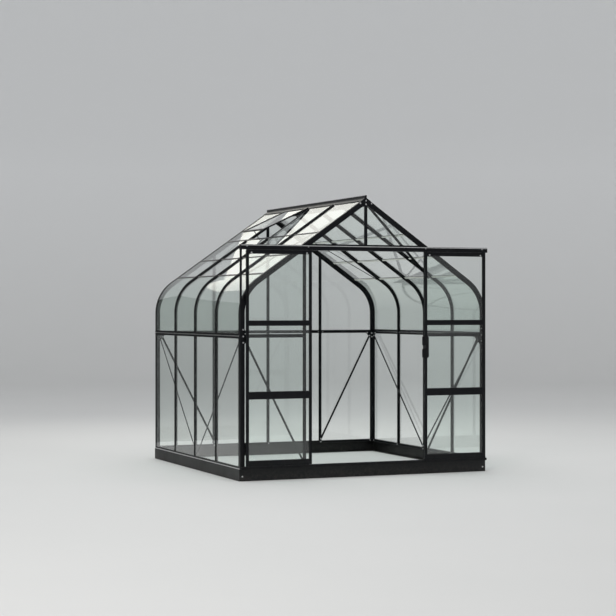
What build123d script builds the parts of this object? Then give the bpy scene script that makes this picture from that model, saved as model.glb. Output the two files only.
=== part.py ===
from build123d import *
import os
from math import atan2, cos, degrees, hypot, pi, radians, sin, tan

os.makedirs("parts", exist_ok=True)

# A small glass greenhouse with curved eaves and a pair of sliding doors.
# X runs left to right along the front gable, Y from front to back, Z up.
# The origin is on the ground, at the middle of the overall plan.

# Overall sizes
width = 2570.0  # over the base, left to right
depth = 2570.0  # over the base, front to back
ridge_height = 2646.0  # where the outer lines of the two slopes meet
eaves_height = 1752.0  # where the lines of wall and slope would meet
eaves_radius = 400.0  # outer radius of the curve that replaces that corner
corner_extra = 45.0  # what the bays at the corners are wider than the others
frame_inset = 4.0  # outer face of the base to outer line of the frame

# Base, a folded channel
base_height = 110.0
base_flange = 45.0
base_sheet = 3.0

# Extrusions of the frame
skin = 3.0  # thickness of caps and flanges
channel = 6.0  # width of every glazing channel
pane = 4.0  # thickness of the glass
play = 1.5  # between a glass edge and the bottom of its channel
bar_width = 30.0
bar_web = 6.0
bar_depth = 28.0
bar_foot = 14.0  # width of the bolt channel at a bar's inner edge
corner_face = 50.0  # face that a corner bar shows in the gable
corner_core = 24.0  # from the outer line to the gable glass
corner_back = 20.0  # from the gable face to the side glass
corner_lap = 32.0  # from the gable face to the end of the side cap
sill_height = 22.0
glass_rest = 3.0  # setting block under the lowest panes
rail_height = 28.0
rail_web = 4.0
strip_height = 16.0

# Curved panels, from the mid rail to the lowest roof joint
panel_upright = 205.0  # straight foot, below the curve
panel_lip = 87.0  # straight head, above the curve

# Ridge
ridge_web = 8.0
ridge_drop = 84.0  # bottom of the beam below the ridge line
ridge_foot = 28.0
ridge_rise = 8.0
crest_width = 18.0
crest_height = 24.0
wing_reach = 48.0

# Roof glass, measured down the slope; the top pane takes up the rest
pane_top = 16.0  # from the ridge line to the head of the glass
middle_pane = 367.0
lower_pane = 316.0

# Roof vent, held open
vent_bay = 2  # counted from the front, from 0
vent_angle = 10.0
vent_overhang = 18.0  # past the uppermost roof joint
vent_lap = 8.0  # over the cap of the bar on each side
vent_bar = 24.0
vent_thick = 14.0
vent_lift = 0.3
hinge_gap = 2.0
stay_width = 14.0
stay_thick = 4.0

# Doors and their gear
doorway_width = 1264.0  # between the middles of the jambs
door_lap = 22.0  # what a door is wider than its half of the doorway
door_reveal = 24.0  # what the open right door still covers, from the line of the jamb
door_lead = 34.0  # what the right door stands further open than the left one
door_stile = 24.0
door_thick = 20.0
door_gap = 20.0  # gable face to the back of a door
door_meet = 6.0  # between the closed doors
door_hang = 6.0  # under the track
door_bottom_rail = 46.0
door_lower_rail = 63.0
door_upper_rail = 42.0
door_top_rail = 30.0
lower_rail_height = 757.0
upper_rail_height = 1436.0
door_groove = 5.0
door_groove_depth = 9.0
door_seam = 0.2  # between a rail and its stile
gable_light = 448.0  # from the top of the head rail to the ridge line
head_rise = 14.0  # of the head rail above the track
track_height = 46.0
track_width = 34.0
track_slot = 12.0
guide_groove = 14.0
guide_height = 24.0
run_clear = 5.0  # between a door and what it runs past
guide_fin = 4.0
end_post = 22.0
wheel_radius = 11.0
wheel_width = 7.0
wheel_gap = 0.3
axle_radius = 3.0
axle_proud = 1.0
hanger_thick = 4.0
hanger_width = 34.0
hanger_inset = 50.0
handle_foot = 1119.0
handle_height = 205.0
handle_depth = 26.0
handle_width = 28.0  # of the block on the leading stile
handle_reach = 36.0  # of the two grips, past the edge of the door
grip_height = 86.0
grip_thick = 18.0
grip_round = 10.0
keep_thick = 3.0

# Bracing
brace_width = 20.0
brace_thick = 3.0
brace_apart = 2.0  # between two bars that meet on one foot
brace_foot = 22.0  # above the sill
brace_hand = 48.0  # below the mid rail
gusset_reach = 120.0
gusset_drop = 110.0
apex_plate_reach = 105.0

# Values that follow from the sizes above
front_reach = door_gap + door_thick + handle_depth - frame_inset
mid_y = front_reach / 2
half_width = width / 2
half_depth = depth / 2
frame_x = half_width - frame_inset
frame_y = half_depth - frame_inset
front_y = mid_y - frame_y
back_y = mid_y + frame_y
gable_pitch = (width - 2 * corner_extra) / 4
side_pitch = (depth - 2 * corner_extra) / 4
pitch = atan2(ridge_height - eaves_height, frame_x)
slope_length = hypot(ridge_height - eaves_height, frame_x)
curve_tangent = eaves_radius * tan((pi / 2 - pitch) / 2)
mid_rail_height = eaves_height - curve_tangent - panel_upright
lower_joint = slope_length - curve_tangent - panel_lip
middle_joint = lower_joint - lower_pane
upper_joint = middle_joint - middle_pane
pane_joints = (upper_joint, middle_joint, lower_joint)
sill_top = base_height + sill_height
flange_at = skin + channel
stem_at = flange_at + skin
jamb_x = doorway_width / 2
door_center = door_gap + door_thick / 2
door_width = jamb_x + door_lap
door_inner = jamb_x - door_reveal
door_outer = door_inner + door_width
head_top = ridge_height - gable_light
head_rail_height = track_height + head_rise
track_bottom = head_top - head_rail_height
door_foot = base_height + guide_height + run_clear
door_head = track_bottom - door_hang
stations = (mid_y - side_pitch, mid_y, mid_y + side_pitch)


def wall_plane(x, y, along):
    return Plane(origin=(x, y, 0), x_dir=along, z_dir=(0, 0, 1))


# Each wall has local x along it, y inward from its outer line, z up
walls = {
    "front": wall_plane(0, front_y, (1, 0, 0)),
    "right": wall_plane(frame_x, mid_y, (0, 1, 0)),
    "back": wall_plane(0, back_y, (-1, 0, 0)),
    "left": wall_plane(-frame_x, mid_y, (0, -1, 0)),
}
half_length = {"front": frame_x, "right": frame_y, "back": frame_x, "left": frame_y}


def standing(wall, along, inward, up):
    """Horizontal plane at a point of a wall, for what is extruded upward."""
    origin = wall.from_local_coords(Vector(along, inward, up))
    return Plane(origin=origin, x_dir=wall.x_dir, z_dir=wall.z_dir)


def running(wall, along, inward, up):
    """Plane across a wall, local x inward and y up, for what runs along it."""
    origin = wall.from_local_coords(Vector(along, inward, up))
    return Plane(origin=origin, x_dir=wall.y_dir, z_dir=wall.x_dir)


def facing(wall, inward):
    """Plane in a wall, looking inward, local x against the wall's own x."""
    origin = wall.from_local_coords(Vector(0, inward, 0))
    return Plane(origin=origin, x_dir=wall.x_dir * -1, z_dir=wall.y_dir)


def slope_plane(inward):
    """Plane in the right slope, local y down the slope from the ridge line."""
    slope = Plane(origin=(0, mid_y, ridge_height), x_dir=(0, -1, 0), z_dir=(sin(pitch), 0, cos(pitch)))
    return slope.offset(-inward)


def slope_point(down, inward):
    """X and Z of a point of the right slope."""
    x = down * cos(pitch) - inward * sin(pitch)
    z = ridge_height - down * sin(pitch) - inward * cos(pitch)
    return x, z


def line_corner(inward):
    """Height where wall and slope would meet, on a line inside the outer one."""
    return ridge_height - inward / cos(pitch) - (frame_x - inward) * tan(pitch)


def frame_line(inward, foot, down):
    """Points of the wall, curve and slope on a line inside the outer one."""
    x = frame_x - inward
    return (x, foot), (x, line_corner(inward)), slope_point(down, inward)


def symmetric_face(points):
    """Face of a section whose right half is given, from axis to axis."""
    with BuildLine() as outline:
        Polyline(*points)
        mirror(about=Plane.YZ)
    make_face(outline.edges())


def bar_section():
    """Glazing bar: outer cap, glass channel on both sides, stem, bolt channel."""
    half = bar_width / 2
    web = bar_web / 2
    foot = bar_foot / 2
    symmetric_face(
        (
            (0, 0),
            (half, 0),
            (half, skin),
            (web, skin),
            (web, flange_at),
            (half, flange_at),
            (half, stem_at),
            (web, stem_at),
            (web, bar_depth - skin),
            (foot, bar_depth - skin),
            (foot, bar_depth),
            (0, bar_depth),
        )
    )


def corner_section():
    """Corner bar: local x from the gable face, y from the outer line."""
    with BuildLine() as outline:
        Polyline(
            (0, 0),
            (corner_lap, 0),
            (corner_lap, skin),
            (corner_back, skin),
            (corner_back, flange_at),
            (corner_lap, flange_at),
            (corner_lap, stem_at),
            (corner_back, stem_at),
            (corner_back, corner_core),
            (stem_at, corner_core),
            (stem_at, corner_face),
            (flange_at, corner_face),
            (flange_at, corner_core),
            (skin, corner_core),
            (skin, corner_face),
            (0, corner_face),
            close=True,
        )
    make_face(outline.edges())


def h_section(height, stem_end):
    """Rail between two panes: outer plate, web, inner plate and stem."""
    with Locations((skin / 2, 0)):
        Rectangle(skin, height)
    with Locations((flange_at + skin / 2, 0)):
        Rectangle(skin, height)
    with Locations(((skin + stem_end) / 2, 0)):
        Rectangle(stem_end - skin, rail_web)


def cut_by_slopes(inward):
    """Trim what stands in a gable by the two slopes, at a depth inside them."""
    peak = ridge_height - inward / cos(pitch)
    for side in (1, -1):
        slope = Plane(origin=(0, 0, peak), z_dir=(side * sin(pitch), 0, cos(pitch)))
        split(bisect_by=slope, keep=Keep.BOTTOM)


def mitre(wall, half):
    """Cut both ends of a rail at 45 degrees in plan."""
    for end in (-1, 1):
        corner = wall.from_local_coords(Vector(end * half, 0, 0))
        side = wall.x_dir * -end - wall.y_dir
        split(bisect_by=Plane(origin=corner, z_dir=side), keep=Keep.TOP)


def write(name, piece):
    piece.part.label = name
    export_step(piece.part, "parts/" + name + ".step")


# Base: four lengths of folded channel, mitred at the corners
def base_length(wall, half):
    outer = standing(wall, 0, -frame_inset, 0)
    reach = half + frame_inset
    with BuildPart() as length:
        with BuildSketch(running(outer, -reach, 0, 0)):
            Rectangle(base_flange, base_height, align=(Align.MIN, Align.MIN))
            with Locations((base_sheet, base_height / 2)):
                Rectangle(
                    base_flange,
                    base_height - 2 * base_sheet,
                    align=(Align.MIN, Align.CENTER),
                    mode=Mode.SUBTRACT,
                )
        extrude(amount=2 * reach)
        mitre(outer, reach)
    return length


for side, wall in walls.items():
    write(side + "_base", base_length(wall, half_length[side]))


# Sills: a glass channel and a hollow that carries the feet of the bars
def sill(wall, half):
    with BuildPart() as length:
        with BuildSketch(running(wall, -half, 0, base_height)):
            Rectangle(bar_depth, sill_height, align=(Align.MIN, Align.MIN))
            with Locations((skin, skin)):
                Rectangle(channel, sill_height, align=(Align.MIN, Align.MIN), mode=Mode.SUBTRACT)
            with Locations((stem_at, skin)):
                Rectangle(
                    bar_depth - stem_at - skin,
                    sill_height - 2 * skin,
                    align=(Align.MIN, Align.MIN),
                    mode=Mode.SUBTRACT,
                )
        extrude(amount=2 * half)
        mitre(wall, half)
    return length


for side, wall in walls.items():
    write(side + "_sill", sill(wall, half_length[side]))


# Corner bars: wall post, curve and gable rafter in one bent extrusion
def corner_bar(gable):
    inward = 1 if gable == "front" else -1
    y = front_y if gable == "front" else back_y
    with BuildPart() as bar:
        with BuildLine(Plane.XZ.offset(-y)) as route:
            FilletPolyline(*frame_line(0, sill_top, 0), radius=eaves_radius)
        with BuildSketch(Plane(origin=(frame_x, y, sill_top), x_dir=(0, inward, 0), z_dir=(0, 0, inward))):
            corner_section()
        sweep(path=route.line)
        split(bisect_by=Plane.YZ.offset(ridge_web / 2), keep=Keep.TOP)
    return bar


for gable in ("front", "back"):
    right_bar = corner_bar(gable)
    write(gable + "_right_corner_bar", right_bar)
    with BuildPart() as left_bar:
        mirror(right_bar.part, about=Plane.YZ)
    write(gable + "_left_corner_bar", left_bar)


# Glazing bars: three on each side, each bent from sill to ridge
with BuildPart() as right_curved_bars:
    for y in stations:
        with BuildLine(Plane.XZ.offset(-y)) as route:
            FilletPolyline(*frame_line(0, sill_top, 0), radius=eaves_radius)
        with BuildSketch(Plane(origin=(frame_x, y, sill_top), x_dir=(0, 1, 0), z_dir=(0, 0, 1))):
            bar_section()
        sweep(path=route.line)
    split(bisect_by=Plane.YZ.offset(ridge_web / 2), keep=Keep.TOP)
write("right_curved_bars", right_curved_bars)

with BuildPart() as left_curved_bars:
    mirror(right_curved_bars.part, about=Plane.YZ)
write("left_curved_bars", left_curved_bars)


# Ridge: a beam between the gables and a cap over the ends of the bars
beam_length = 2 * (frame_y - stem_at)
with BuildPart() as ridge_beam:
    with BuildSketch(Plane.XZ.offset(-back_y + stem_at)):
        with Locations((0, ridge_height + ridge_rise)):
            Rectangle(ridge_web, ridge_rise + ridge_drop, align=(Align.CENTER, Align.MAX))
        with Locations((0, ridge_height - ridge_drop)):
            Rectangle(ridge_foot, skin, align=(Align.CENTER, Align.MIN))
    extrude(amount=beam_length)
write("ridge_beam", ridge_beam)

wing_top = ridge_height + skin / cos(pitch)
with BuildPart() as ridge_cap:
    with BuildSketch(Plane.XZ.offset(-back_y)):
        symmetric_face(
            (
                (0, ridge_height + crest_height),
                (crest_width / 2, ridge_height + crest_height),
                (crest_width / 2, wing_top - crest_width / 2 * tan(pitch)),
                (wing_reach, wing_top - wing_reach * tan(pitch)),
                (wing_reach, ridge_height - wing_reach * tan(pitch)),
                (ridge_web / 2, ridge_height - ridge_web / 2 * tan(pitch)),
                (ridge_web / 2, ridge_height + ridge_rise),
                (0, ridge_height + ridge_rise),
            )
        )
    extrude(amount=2 * frame_y)
write("ridge_cap", ridge_cap)

# Clear lengths between the caps of the bars, and between their webs, along Y
cap_edges = [front_y + corner_lap]
web_edges = [front_y + corner_back + play]
for y in stations:
    cap_edges += [y - bar_width / 2, y + bar_width / 2]
    web_edges += [y - bar_web / 2 - play, y + bar_web / 2 + play]
cap_edges.append(back_y - corner_lap)
web_edges.append(back_y - corner_back - play)
cap_bays = list(zip(cap_edges[::2], cap_edges[1::2]))
web_bays = list(zip(web_edges[::2], web_edges[1::2]))

# Side mid rails: a length in each bay under one cap that runs past the bars
with BuildPart() as right_mid_rail:
    right = walls["right"]
    with BuildSketch(running(right, -frame_y, 0, mid_rail_height)):
        with Locations((-skin / 2, 0)):
            Rectangle(skin, rail_height)
    extrude(amount=2 * frame_y)
    for low, high in cap_bays:
        with BuildSketch(running(right, low - mid_y, 0, mid_rail_height)):
            h_section(rail_height, bar_depth - skin)
        extrude(amount=high - low)
write("right_mid_rail", right_mid_rail)

with BuildPart() as left_mid_rail:
    mirror(right_mid_rail.part, about=Plane.YZ)
write("left_mid_rail", left_mid_rail)


# Gable framing
def gable_rails(wall, spans):
    with BuildPart() as rails:
        for low, high in spans:
            with BuildSketch(running(wall, low, 0, mid_rail_height)):
                h_section(rail_height, bar_depth - skin)
            extrude(amount=high - low)
    return rails


def both_spans(low, high):
    return [(low + bar_width / 2, high), (-high, -low - bar_width / 2)]


front_spans = both_spans(jamb_x, frame_x - corner_face)
back_spans = both_spans(gable_pitch, frame_x - corner_face)
back_spans += both_spans(0, gable_pitch - bar_width / 2)
write("front_mid_rails", gable_rails(walls["front"], front_spans))
write("back_mid_rails", gable_rails(walls["back"], back_spans))


def uprights(wall, places, foot):
    with BuildPart() as bars:
        for along in places:
            with BuildSketch(standing(wall, along, 0, foot)):
                bar_section()
            top = ridge_height if along else ridge_height - ridge_drop
            extrude(amount=top - foot)
        cut_by_slopes(corner_face)
    return bars


write("door_jambs", uprights(walls["front"], (-jamb_x, jamb_x), sill_top))
write("front_king_post", uprights(walls["front"], (0,), head_top))
write("back_uprights", uprights(walls["back"], (-gable_pitch, 0, gable_pitch), sill_top))

with BuildPart() as door_head_rail:
    half = jamb_x - bar_width / 2
    with BuildSketch(running(walls["front"], -half, 0, track_bottom)):
        Rectangle(bar_depth, head_rail_height, align=(Align.MIN, Align.MIN))
        with Locations((skin, head_rail_height)):
            Rectangle(channel, 2 * channel, align=(Align.MIN, Align.MAX), mode=Mode.SUBTRACT)
        with Locations((stem_at, skin)):
            Rectangle(
                bar_depth - stem_at - skin,
                head_rail_height - 2 * skin,
                align=(Align.MIN, Align.MIN),
                mode=Mode.SUBTRACT,
            )
    extrude(amount=2 * half)
    cut_by_slopes(corner_face)
write("door_head_rail", door_head_rail)


# Side glass: flat panes below the mid rail
web_half = rail_web / 2
with BuildPart() as right_wall_glass:
    low_z = base_height + skin + glass_rest
    high_z = mid_rail_height - web_half - play
    for low, high in web_bays:
        with BuildSketch(facing(walls["right"], skin)):
            with Locations((mid_y - (low + high) / 2, (low_z + high_z) / 2)):
                Rectangle(high - low, high_z - low_z)
        extrude(amount=pane)
write("right_wall_glass", right_wall_glass)

with BuildPart() as left_wall_glass:
    mirror(right_wall_glass.part, about=Plane.YZ)
write("left_wall_glass", left_wall_glass)

# Curved panels: from the mid rail round the eaves to the lowest roof strip
with BuildPart() as right_curved_panels:
    foot = mid_rail_height + web_half
    middle = skin + pane / 2
    for low, high in web_bays:
        y = (low + high) / 2
        with BuildLine(Plane.XZ.offset(-y)) as route:
            FilletPolyline(
                *frame_line(middle, foot, lower_joint + web_half + play),
                radius=eaves_radius - middle,
            )
        with BuildSketch(Plane(origin=(frame_x - middle, y, foot), x_dir=(0, 1, 0), z_dir=(0, 0, 1))):
            Rectangle(high - low, pane)
        sweep(path=route.line)
write("right_curved_panels", right_curved_panels)

with BuildPart() as left_curved_panels:
    mirror(right_curved_panels.part, about=Plane.YZ)
write("left_curved_panels", left_curved_panels)


# Roof glass: three panes to a bay, one above the other
def roof_glass(left_out):
    rows = list(zip((pane_top - web_half - play,) + pane_joints[:-1], pane_joints))
    with BuildPart() as panes:
        for bay, (low, high) in enumerate(web_bays):
            for row, (upper, lower) in enumerate(rows):
                if (bay, row) == left_out:
                    continue
                top = upper + web_half + play
                foot = lower - web_half
                with BuildSketch(slope_plane(skin + pane)):
                    with Locations((mid_y - (low + high) / 2, (top + foot) / 2)):
                        Rectangle(high - low, foot - top)
                extrude(amount=pane)
    return panes


right_roof_glass = roof_glass(None)
write("right_roof_glass", right_roof_glass)
with BuildPart() as left_roof_glass:
    mirror(roof_glass((vent_bay, 0)).part, about=Plane.YZ)
write("left_roof_glass", left_roof_glass)

# Roof strips: the joints between the panes of a bay
with BuildPart() as right_roof_strips:
    for down in pane_joints:
        x, z = slope_point(down, 0)
        for low, high in cap_bays:
            with BuildSketch(
                Plane(origin=(x, low, z), x_dir=(-sin(pitch), 0, -cos(pitch)), z_dir=(0, 1, 0))
            ):
                h_section(strip_height, stem_at)
            extrude(amount=high - low)
write("right_roof_strips", right_roof_strips)

with BuildPart() as left_roof_strips:
    mirror(right_roof_strips.part, about=Plane.YZ)
write("left_roof_strips", left_roof_strips)


# Gable glass: each pane is cut to the line of the corner bars
def gable_glass(wall, boxes):
    edge = corner_core + play
    x = frame_x - edge
    with BuildPart() as panes:
        for low_x, high_x, low_z, high_z in boxes:
            with BuildSketch(facing(wall, skin)) as shape:
                Polygon(
                    (x, base_height),
                    (x, line_corner(edge)),
                    (0, ridge_height - edge / cos(pitch)),
                    (-x, line_corner(edge)),
                    (-x, base_height),
                    align=None,
                )
                fillet(shape.vertices().group_by(Axis.Y)[1], radius=eaves_radius - edge)
                with Locations(((low_x + high_x) / 2, (low_z + high_z) / 2)):
                    Rectangle(high_x - low_x, high_z - low_z, mode=Mode.INTERSECT)
            extrude(amount=pane)
    return panes


low_row = (base_height + skin + glass_rest, mid_rail_height - web_half - play)
high_row = (mid_rail_height + web_half, ridge_height)
top_row = (head_top - 2 * channel, ridge_height)
web_gap = bar_web / 2 + play


def both(bay, row):
    return [bay + row, (-bay[1], -bay[0]) + row]


front_bay = (jamb_x + web_gap, frame_x)
front_panes = both(front_bay, low_row) + both(front_bay, high_row)
front_panes += both((web_gap, jamb_x - web_gap), top_row)
back_panes = []
for bay in ((gable_pitch + web_gap, frame_x), (web_gap, gable_pitch - web_gap)):
    for row in (low_row, high_row):
        back_panes += both(bay, row)
write("front_gable_glass", gable_glass(walls["front"], front_panes))
write("back_gable_glass", gable_glass(walls["back"], back_panes))


# Bracing: flat bars against the inner edges of the bars
def flat_bar(start, end):
    """Slotted outline from one bolt to the other, in the plane of a sketch."""
    length = hypot(end[0] - start[0], end[1] - start[1])
    angle = degrees(atan2(end[1] - start[1], end[0] - start[0]))
    with Locations(((start[0] + end[0]) / 2, (start[1] + end[1]) / 2)):
        SlotCenterToCenter(length, brace_width, rotation=angle)


brace_low = sill_top + brace_foot
brace_high = mid_rail_height - brace_hand
gable_hand = frame_x - corner_face - brace_width
wall_hand = frame_y - corner_face - brace_width


def wall_braces(feet, hand):
    with BuildPart() as braces:
        for name, foot in feet.items():
            for side in (-1, 1):
                with BuildSketch(facing(walls[name], bar_depth)):
                    flat_bar((side * foot, brace_low), (side * hand, brace_high))
                extrude(amount=brace_thick)
    return braces


middle_foot = (brace_width + brace_apart) / 2
write("gable_braces", wall_braces({"front": jamb_x, "back": gable_pitch}, gable_hand))
write("side_wall_braces", wall_braces({"left": middle_foot, "right": middle_foot}, wall_hand))

with BuildPart() as roof_braces:
    for side in (-1, 1):
        with BuildSketch(slope_plane(bar_depth + brace_thick)):
            flat_bar(
                (side * (frame_y - corner_lap), ridge_foot + brace_width),
                (side * side_pitch, lower_joint),
            )
        extrude(amount=brace_thick)
    mirror(about=Plane.YZ)
write("roof_braces", roof_braces)

# Gussets at mid rail height: a leg on the side wall and a leg on the gable
with BuildPart() as corner_gussets:
    for name in ("right", "left"):
        wall = walls[name]
        for end in (-1, 1):
            near = end * (frame_y - stem_at)
            far = end * (frame_y - gusset_reach)
            top = mid_rail_height - web_half
            with BuildSketch(facing(wall, bar_depth - skin)):
                Polygon((-near, top), (-far, top), (-near, top - gusset_drop), align=None)
            extrude(amount=skin)
    for name in ("front", "back"):
        wall = walls[name]
        for end in (-1, 1):
            near = end * (frame_x - bar_depth)
            far = end * (frame_x - gusset_reach)
            with BuildSketch(facing(wall, bar_depth - skin)):
                Polygon((-near, top), (-far, top), (-near, top - gusset_drop), align=None)
            extrude(amount=skin)
write("corner_gussets", corner_gussets)

# Apex plates: where the two rafters of a gable meet
with BuildPart() as apex_plates:
    x, z = slope_point(apex_plate_reach, 0)
    for name in ("front", "back"):
        with BuildSketch(facing(walls[name], -skin)):
            Polygon((0, ridge_height), (x, z), (0, z - x * tan(pitch) / 2), (-x, z), align=None)
        extrude(amount=skin)
write("apex_plates", apex_plates)

# Roof vent: a glazed frame hinged at the ridge, held open by a stay
vent_slope = pitch - radians(vent_angle)
hinge_down = (wing_reach + hinge_gap) / cos(pitch)
hinge_x, hinge_z = slope_point(hinge_down, -vent_lift)
vent_y = stations[vent_bay - 1] + side_pitch / 2
vent_width = side_pitch - bar_width + 2 * vent_lap
vent_length = upper_joint + vent_overhang - hinge_down
vent_plane = Plane(
    origin=(-hinge_x, vent_y, hinge_z),
    x_dir=(0, 1, 0),
    z_dir=(-sin(vent_slope), 0, cos(vent_slope)),
)
vent_side = (vent_width - vent_bar) / 2
vent_clear = vent_width - 2 * vent_bar
with BuildPart() as vent_frame:
    with BuildSketch(vent_plane):
        with Locations((-vent_side, vent_length / 2), (vent_side, vent_length / 2)):
            Rectangle(vent_bar, vent_length)
        with Locations((0, vent_bar / 2), (0, vent_length - vent_bar / 2)):
            Rectangle(vent_clear - 2 * door_seam, vent_bar)
    extrude(amount=vent_thick)
    with BuildSketch(vent_plane.offset((vent_thick - door_groove) / 2)):
        with Locations((0, vent_length / 2)):
            Rectangle(
                vent_clear + 2 * door_groove_depth,
                vent_length - 2 * vent_bar + 2 * door_groove_depth,
            )
    extrude(amount=door_groove, mode=Mode.SUBTRACT)
write("vent_frame", vent_frame)

with BuildPart() as vent_glass:
    with BuildSketch(vent_plane.offset((vent_thick - door_groove) / 2)):
        with Locations((0, vent_length / 2)):
            Rectangle(
                vent_clear + 2 * (door_groove_depth - play),
                vent_length - 2 * vent_bar + 2 * (door_groove_depth - play),
            )
    extrude(amount=pane)
write("vent_glass", vent_glass)

# The stay stands on the strip below the vent and bears on its lower bar
strip_x, strip_z = slope_point(upper_joint, 0)
grip = vent_plane.from_local_coords(Vector(0, vent_length - vent_bar / 2, 0))
stay_run = grip - Vector(-strip_x, vent_y, strip_z)
with BuildPart() as vent_stay:
    with BuildSketch(Plane(origin=(-strip_x, vent_y, strip_z), x_dir=(0, 1, 0), z_dir=stay_run)):
        Rectangle(stay_width, stay_thick)
    extrude(amount=stay_run.length)
    split(bisect_by=vent_plane, keep=Keep.BOTTOM)
    split(bisect_by=Plane(origin=(-strip_x, 0, strip_z), z_dir=(-sin(pitch), 0, cos(pitch))), keep=Keep.TOP)
write("vent_stay", vent_stay)

# Door gear: track, its end posts and the guide under the doors
front = walls["front"]
track_front = -door_center - track_width / 2
track_back = -door_center + track_width / 2
slot_front = -door_center - track_slot / 2
slot_back = -door_center + track_slot / 2
with BuildPart() as door_track:
    with BuildSketch(running(front, -half_width, 0, track_bottom)):
        with BuildLine():
            Polyline(
                (0, 0),
                (0, track_height),
                (track_front, track_height),
                (track_front, 0),
                (slot_front, 0),
                (slot_front, skin),
                (track_front + skin, skin),
                (track_front + skin, track_height - skin),
                (track_back - skin, track_height - skin),
                (track_back - skin, skin),
                (slot_back, skin),
                (slot_back, 0),
                (track_back, 0),
                (track_back, track_height - skin),
                (-skin, track_height - skin),
                (-skin, 0),
                close=True,
            )
        make_face()
    extrude(amount=2 * half_width)
write("door_track", door_track)

groove_front = -door_center - guide_groove / 2
groove_back = -door_center + guide_groove / 2
with BuildPart() as door_guide:
    with BuildSketch(running(front, -frame_x, 0, base_height)):
        with BuildLine():
            Polyline(
                (0, 0),
                (0, skin),
                (groove_back + skin, skin),
                (groove_back + skin, guide_height),
                (groove_back, guide_height),
                (groove_back, skin),
                (groove_front, skin),
                (groove_front, guide_height),
                (groove_front - skin, guide_height),
                (groove_front - skin, 0),
                close=True,
            )
        make_face()
    extrude(amount=2 * frame_x)
write("door_guide", door_guide)

post_foot = base_height + skin
with BuildPart() as track_end_posts:
    with BuildSketch(standing(front, frame_x, 0, post_foot)):
        Rectangle(end_post, door_gap - run_clear, align=(Align.MAX, Align.MAX))
        with Locations((-skin, -skin)):
            Rectangle(end_post, door_gap, align=(Align.MAX, Align.MAX), mode=Mode.SUBTRACT)
    extrude(amount=track_bottom - post_foot)
    mirror(about=Plane.YZ)
write("track_end_posts", track_end_posts)

# Doors, drawn open; the left one mirrors the right one but for its handle
door_middle = (door_inner + door_outer) / 2
door_rails = (
    (door_foot, door_foot + door_bottom_rail),
    (lower_rail_height, lower_rail_height + door_lower_rail),
    (upper_rail_height, upper_rail_height + door_upper_rail),
    (door_head - door_top_rail, door_head),
)
with BuildPart() as right_door_frame:
    for place, turn in ((door_inner + door_stile / 2, 1), (door_outer - door_stile / 2, -1)):
        with BuildSketch(standing(front, place, -door_center, door_foot)):
            Rectangle(door_stile, door_thick)
            with Locations((turn * door_stile / 2, 0)):
                Rectangle(2 * door_groove_depth, door_groove, mode=Mode.SUBTRACT)
        extrude(amount=door_head - door_foot)
    rail_start = door_inner + door_stile + door_seam
    rail_length = door_width - 2 * (door_stile + door_seam)
    fin_foot = base_height + skin + run_clear
    for number, (low, high) in enumerate(door_rails):
        with BuildSketch(running(front, rail_start, -door_center, low)):
            with Locations((0, (high - low) / 2)):
                Rectangle(door_thick, high - low)
            if number > 0:
                Rectangle(door_groove, 2 * door_groove_depth, mode=Mode.SUBTRACT)
            else:
                with Locations((0, (fin_foot - low) / 2)):
                    Rectangle(guide_fin, low - fin_foot)
            if number < len(door_rails) - 1:
                with Locations((0, high - low)):
                    Rectangle(door_groove, 2 * door_groove_depth, mode=Mode.SUBTRACT)
        extrude(amount=rail_length)

with BuildPart() as right_door_glass:
    glass_width = door_width - 2 * (door_stile - door_groove_depth + play)
    for (_, below), (above, _) in zip(door_rails, door_rails[1:]):
        low_z = below - door_groove_depth
        high_z = above + door_groove_depth - play
        with BuildSketch(facing(front, -door_center - pane / 2)):
            with Locations((-door_middle, (low_z + high_z) / 2)):
                Rectangle(glass_width, high_z - low_z)
        extrude(amount=pane)

# Hangers: a plate on the top rail, with a wheel on each side in the track
wheel_z = track_bottom + skin + wheel_gap + wheel_radius
with BuildPart() as right_door_hangers:
    for place in (door_inner + hanger_inset, door_outer - hanger_inset):
        with BuildSketch(facing(front, -door_center - hanger_thick / 2)):
            with Locations((-place, door_head)):
                Rectangle(hanger_width, wheel_z + wheel_radius - door_head, align=(Align.CENTER, Align.MIN))
        extrude(amount=hanger_thick)
        with BuildSketch(facing(front, -door_center)):
            with Locations((-place, wheel_z)):
                Circle(axle_radius)
        extrude(amount=hanger_thick / 2 + wheel_width + axle_proud, both=True)
        for side in (-1, 1):
            with BuildSketch(facing(front, -door_center + side * (hanger_thick + wheel_width) / 2)):
                with Locations((-place, wheel_z)):
                    Circle(wheel_radius)
            extrude(amount=wheel_width / 2, both=True)

# Handle: a moulded block on the right door's leading stile, with two grips that
# pass in front of the left door, which has a flat keep plate
front_face = -door_center - door_thick / 2
handle_middle = handle_foot + handle_height / 2
grip_place = (handle_height - grip_height) / 2
with BuildPart() as right_door_handle:
    handle_front = facing(front, front_face - handle_depth)
    with BuildSketch(handle_front):
        with Locations((-door_inner - handle_width / 2, handle_middle)):
            RectangleRounded(handle_width, handle_height, grip_round)
    extrude(amount=handle_depth)
    with BuildSketch(handle_front):
        for step in (-grip_place, grip_place):
            with Locations((-door_inner - (handle_width - handle_reach) / 2, handle_middle + step)):
                RectangleRounded(handle_width + handle_reach, grip_height, grip_round)
    extrude(amount=grip_thick)

with BuildPart() as right_keep:
    with BuildSketch(facing(front, front_face - keep_thick)):
        with Locations((-door_inner - door_stile / 2, handle_middle)):
            Rectangle(door_stile - 2 * keep_thick, handle_height)
    extrude(amount=keep_thick)

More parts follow.
